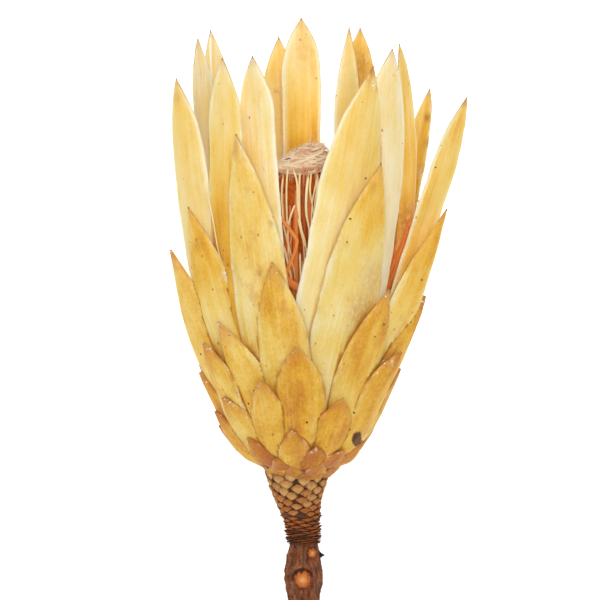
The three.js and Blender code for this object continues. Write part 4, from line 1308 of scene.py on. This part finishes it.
def styles(sweep):
    random = np.random.default_rng(5)
    paths = []
    for number, points in enumerate(FRONT_STYLES):
        flat = smooth_path(points[::-1], 40)
        core = along(CORE, flat[:, 1])
        depth = np.sqrt(np.maximum(0, (core + 2.1) ** 2 - flat[:, 0] ** 2))
        middle = np.column_stack([flat, depth])
        path = style_path(middle, random.uniform(0.1, 0.4), 30 + number)
        paths.append({**path, "half": path["half"] * BROADER} if number == BROAD_STYLE else path)
    for k in range(STYLE["around"]):
        azimuth = 62 + k * 236 / (STYLE["around"] - 1) + random.uniform(-4, 4)
        heights = np.linspace(STYLE["bottom"], STYLE["top"] - 6 * random.random(), 5)
        drift = azimuth + random.uniform(-5, 5, 5)
        points = [around(a, along(CORE, h) + 1.7, h) for a, h in zip(drift, heights)]
        paths.append(style_path(smooth_path(points, 40), random.uniform(0.1, 0.6), 50 + k))
    stray = style_path(smooth_path(STRAY_STYLE, 40), 0.6, 90)
    paths.append({**stray, "half": stray["half"] * 0.95, "thick": stray["thick"] * 0.7})
    for k in range(THREADS["count"]):
        low = random.uniform(THREADS["low"], THREADS["high"] - 12)
        heights = np.linspace(low, low + random.uniform(6, 12), 4)
        drift = random.uniform(-24, 30) + np.cumsum(random.uniform(-7, 7, 4))
        points = [around(a, along(CORE, h) + random.uniform(1.2, 3), h) for a, h in zip(drift, heights)]
        middle = smooth_path(points, 24)
        half = THREADS["half"]
        tone = random.uniform(0.7, 1)
        paths.append(stations(middle, middle * (1, 0, 1), half, tone, 50, 2 * half, 100 + k))
    mesh = grown(
        "cream_styles", paths_mesh("styles", paths), sweep, style_material(),
        section_points=10, edge=1.0, margin_share=1.0, ripple=0.0, crinkle=0.05, keel=0.0,
    )
    finish_piece("cream_styles", mesh, "styles")


def style_path(middle, tone, seed):
    share = np.linspace(0, 1, len(middle))
    half = STYLE["half"] * (0.55 + 0.55 * ease(share / 0.75)) * (1 - 0.8 * ease((share - 0.93) / 0.07))
    return stations(middle, middle * (1, 0, 1), half, tone, 50, STYLE["thick"] * half / STYLE["half"], seed)


def on_wool(azimuth, share, swell, stand, lift):
    """Points on the wool at a share of its height, off its outline and off that height, tilted with it."""
    radius = WOOL["radius"] * along(WOOL_OUTLINE, share) * swell + stand
    height = WOOL["bottom"] + (WOOL["top"] - WOOL["bottom"]) * share + lift
    spots = around(azimuth, radius, height)
    spots[:, 1] += WOOL["slope"] * spots[:, 0] * share
    spots[:, 0] += WOOL["drift"] * share
    return spots


def wool_cap():
    random = np.random.default_rng(23)
    sides = 72
    lumps = random.uniform(0, 2 * math.pi, (6, 3))
    azimuth = np.arange(sides) * 360 / sides
    a = np.radians(azimuth)
    points = []
    for share in [*np.linspace(0, 0.9, 20), 0.95, 0.98, 1]:
        swell = 1.0
        for n, (p, q, _) in enumerate(lumps):
            swell = swell + 0.022 * np.sin(a * (n + 2) + p) * np.sin(share * (3 + 2 * n) + q)
        points.extend(on_wool(azimuth, share, swell, 0, 0.5 * np.sin(3 * a + 4 * share)))
    return ring_mesh("wool_cap", points, sides)


def lock_paths():
    """Flat locks that lie nearly level round the wool, with ends that stand off it a little."""
    random = np.random.default_rng(29)
    paths = []
    t = np.linspace(-1, 1, 5)
    for k in range(WOOL["locks"]):
        azimuth = random.uniform(-180, 180) + t * random.uniform(12, 44)
        share = np.clip(random.uniform(-0.04, 0.98) + t * random.uniform(-0.1, 0.16), 0, 1)
        stand = random.uniform(0.05, 0.6) + random.uniform(0, 0.7) * t**2
        middle = smooth_path(on_wool(azimuth, share, 1, stand, stand * share), 16)
        half = random.uniform(0.12, 0.46) * (1 - 0.9 * np.linspace(-1, 1, 16) ** 4)
        heart = (WOOL["drift"] / 2, WOOL["bottom"] - 1, 0)
        paths.append(stations(middle, middle - heart, half, random.random(), 7, 0.2, 1.7 * k))
    return paths


def hair_mesh():
    """A fine curved hair, 1 long, lying along x and lifting a little off the surface below it."""
    sides = 3
    points = []
    for t in np.linspace(0, 1, 6):
        centre = np.array((t, 0.2 * math.sin(2.6 * t), -0.05 + 0.3 * t - 0.46 * t * t))
        radius = 0.016 * (1.15 - t)
        for k in range(sides):
            a = math.tau * k / sides
            points.append(centre + (0, radius * math.cos(a), radius * math.sin(a)))
    return ring_mesh("hair", points, sides)


def wool_tree(hair):
    """Lays fine hairs over the cap, each turned its own way on the surface."""
    net = GeometryNet("hairs_on_wool", density=1.0, length=7.0, seed=4)
    given = net.given
    spread = net.put("GeometryNodeDistributePointsOnFaces", given["geometry"], distribute_method="RANDOM")
    net.feed(spread.inputs["Density"], given["density"])
    net.feed(spread.inputs["Seed"], given["seed"])
    source = net.put("GeometryNodeObjectInfo", hair)
    turn = net.vector(0, net.random(-0.12, 0.1, 6), net.random(0.7, 2.4, 8))
    turned = net.wire(net.put("FunctionNodeEulerToRotation", turn))
    spun = net.put("FunctionNodeRotateRotation", net.wire(spread, "Rotation"), turned)
    spun.rotation_space = "LOCAL"
    size = net.vector(1, 1, 1) * given["length"] * net.random(0.55, 1.25, 9)
    hairs = net.copies(net.wire(spread), net.wire(source, "Geometry"), net.wire(spun), size)
    net.end(net.store(hairs, "lot", net.random(0, 1, 13), domain="INSTANCE"))
    return net


def wool(sweep):
    cap = wool_cap()
    area = sum(polygon.area for polygon in cap.polygons)
    hair = link(bpy.data.objects.new("hair", hair_mesh()))
    light, deep = (254, 240, 216), (243, 206, 168)
    mesh = grown(
        "wool_hairs", cap.copy(), wool_tree(hair), wool_material("wool_hairs", light, deep),
        density=WOOL["hairs"] / area, length=WOOL["hair"],
    )
    bpy.data.objects.remove(hair)
    finish_piece("wool_hairs", mesh, "wool")
    combed = wool_material("wool_locks", light, deep, combed=True)
    locks = grown(
        "wool_locks", paths_mesh("locks", lock_paths()), sweep, combed,
        section_points=10, wobble=0.3, wobble_length=2.5, ripple=0.0, crinkle=0.3, keel=0.0,
    )
    finish_piece("wool_locks", locks, "wool")
    finish_piece("wool_cap", cap, "wool", wool_material("wool_felt", (244, 202, 160), (230, 168, 122)))


# The picture: a pale floor, soft light and the camera.

def floor():
    mesh = mesh_of("floor", [(-2, -2, 0), (2, -2, 0), (2, 2, 0), (-2, 2, 0)], [(0, 1, 2, 3)])
    mesh.materials.append(ShaderNet("pale_floor").set({
        "Base Color": (0.5, 0.5, 0.5, 1), "Roughness": 0.9, "Specular IOR Level": 0,
        "Emission Color": (1, 1, 1, 1), "Emission Strength": 0.85,
    }))
    link(bpy.data.objects.new("floor", mesh))


def lights():
    world = bpy.data.worlds.new("soft_room")
    world.use_nodes = True
    sky = world.node_tree.nodes["Background"].inputs
    sky["Color"].default_value = (1, 1, 1, 1)
    sky["Strength"].default_value = 0.36
    bpy.context.scene.world = world
    for name, place, size, power in (
        ("beside_the_camera", (0.0, -0.4, 1.33), 0.45, 8.8),
        ("window", (-0.7, 0.5, 1.1), 0.8, 3.2),
        ("far_wall", (0.8, 0.4, 1.0), 0.9, 2.2),
        ("from_the_tips", (0.1, 1.1, 0.7), 0.7, 2.5),
    ):
        lamp = bpy.data.lights.new(name, "AREA")
        lamp.shape = "DISK"
        lamp.size = size
        lamp.energy = power
        holder = link(bpy.data.objects.new(name, lamp))
        holder.location = place
        holder.rotation_mode = "QUATERNION"
        holder.rotation_quaternion = (-Vector(place)).to_track_quat("-Z", "Y")


def camera():
    lens = bpy.data.cameras.new("camera")
    lens.sensor_width = VIEW["sensor"]
    lens.lens = VIEW["sensor"] * VIEW["distance"] / VIEW["width"]
    holder = link(bpy.data.objects.new("camera", lens))
    turned = Matrix.Rotation(LIE_TILT, 4, "X")
    eye = LAID_DOWN @ Vector((0, VIEW["height"], VIEW["distance"]))
    holder.matrix_world = Matrix.Translation(eye) @ turned
    bpy.context.scene.camera = holder
    bpy.context.scene.view_settings.view_transform = "Standard"


camera()
lights()
floor()
sweep = sweep_tree()
involucre(sweep)
neck()
stem()
florets(sweep)
styles(sweep)
wool(sweep)
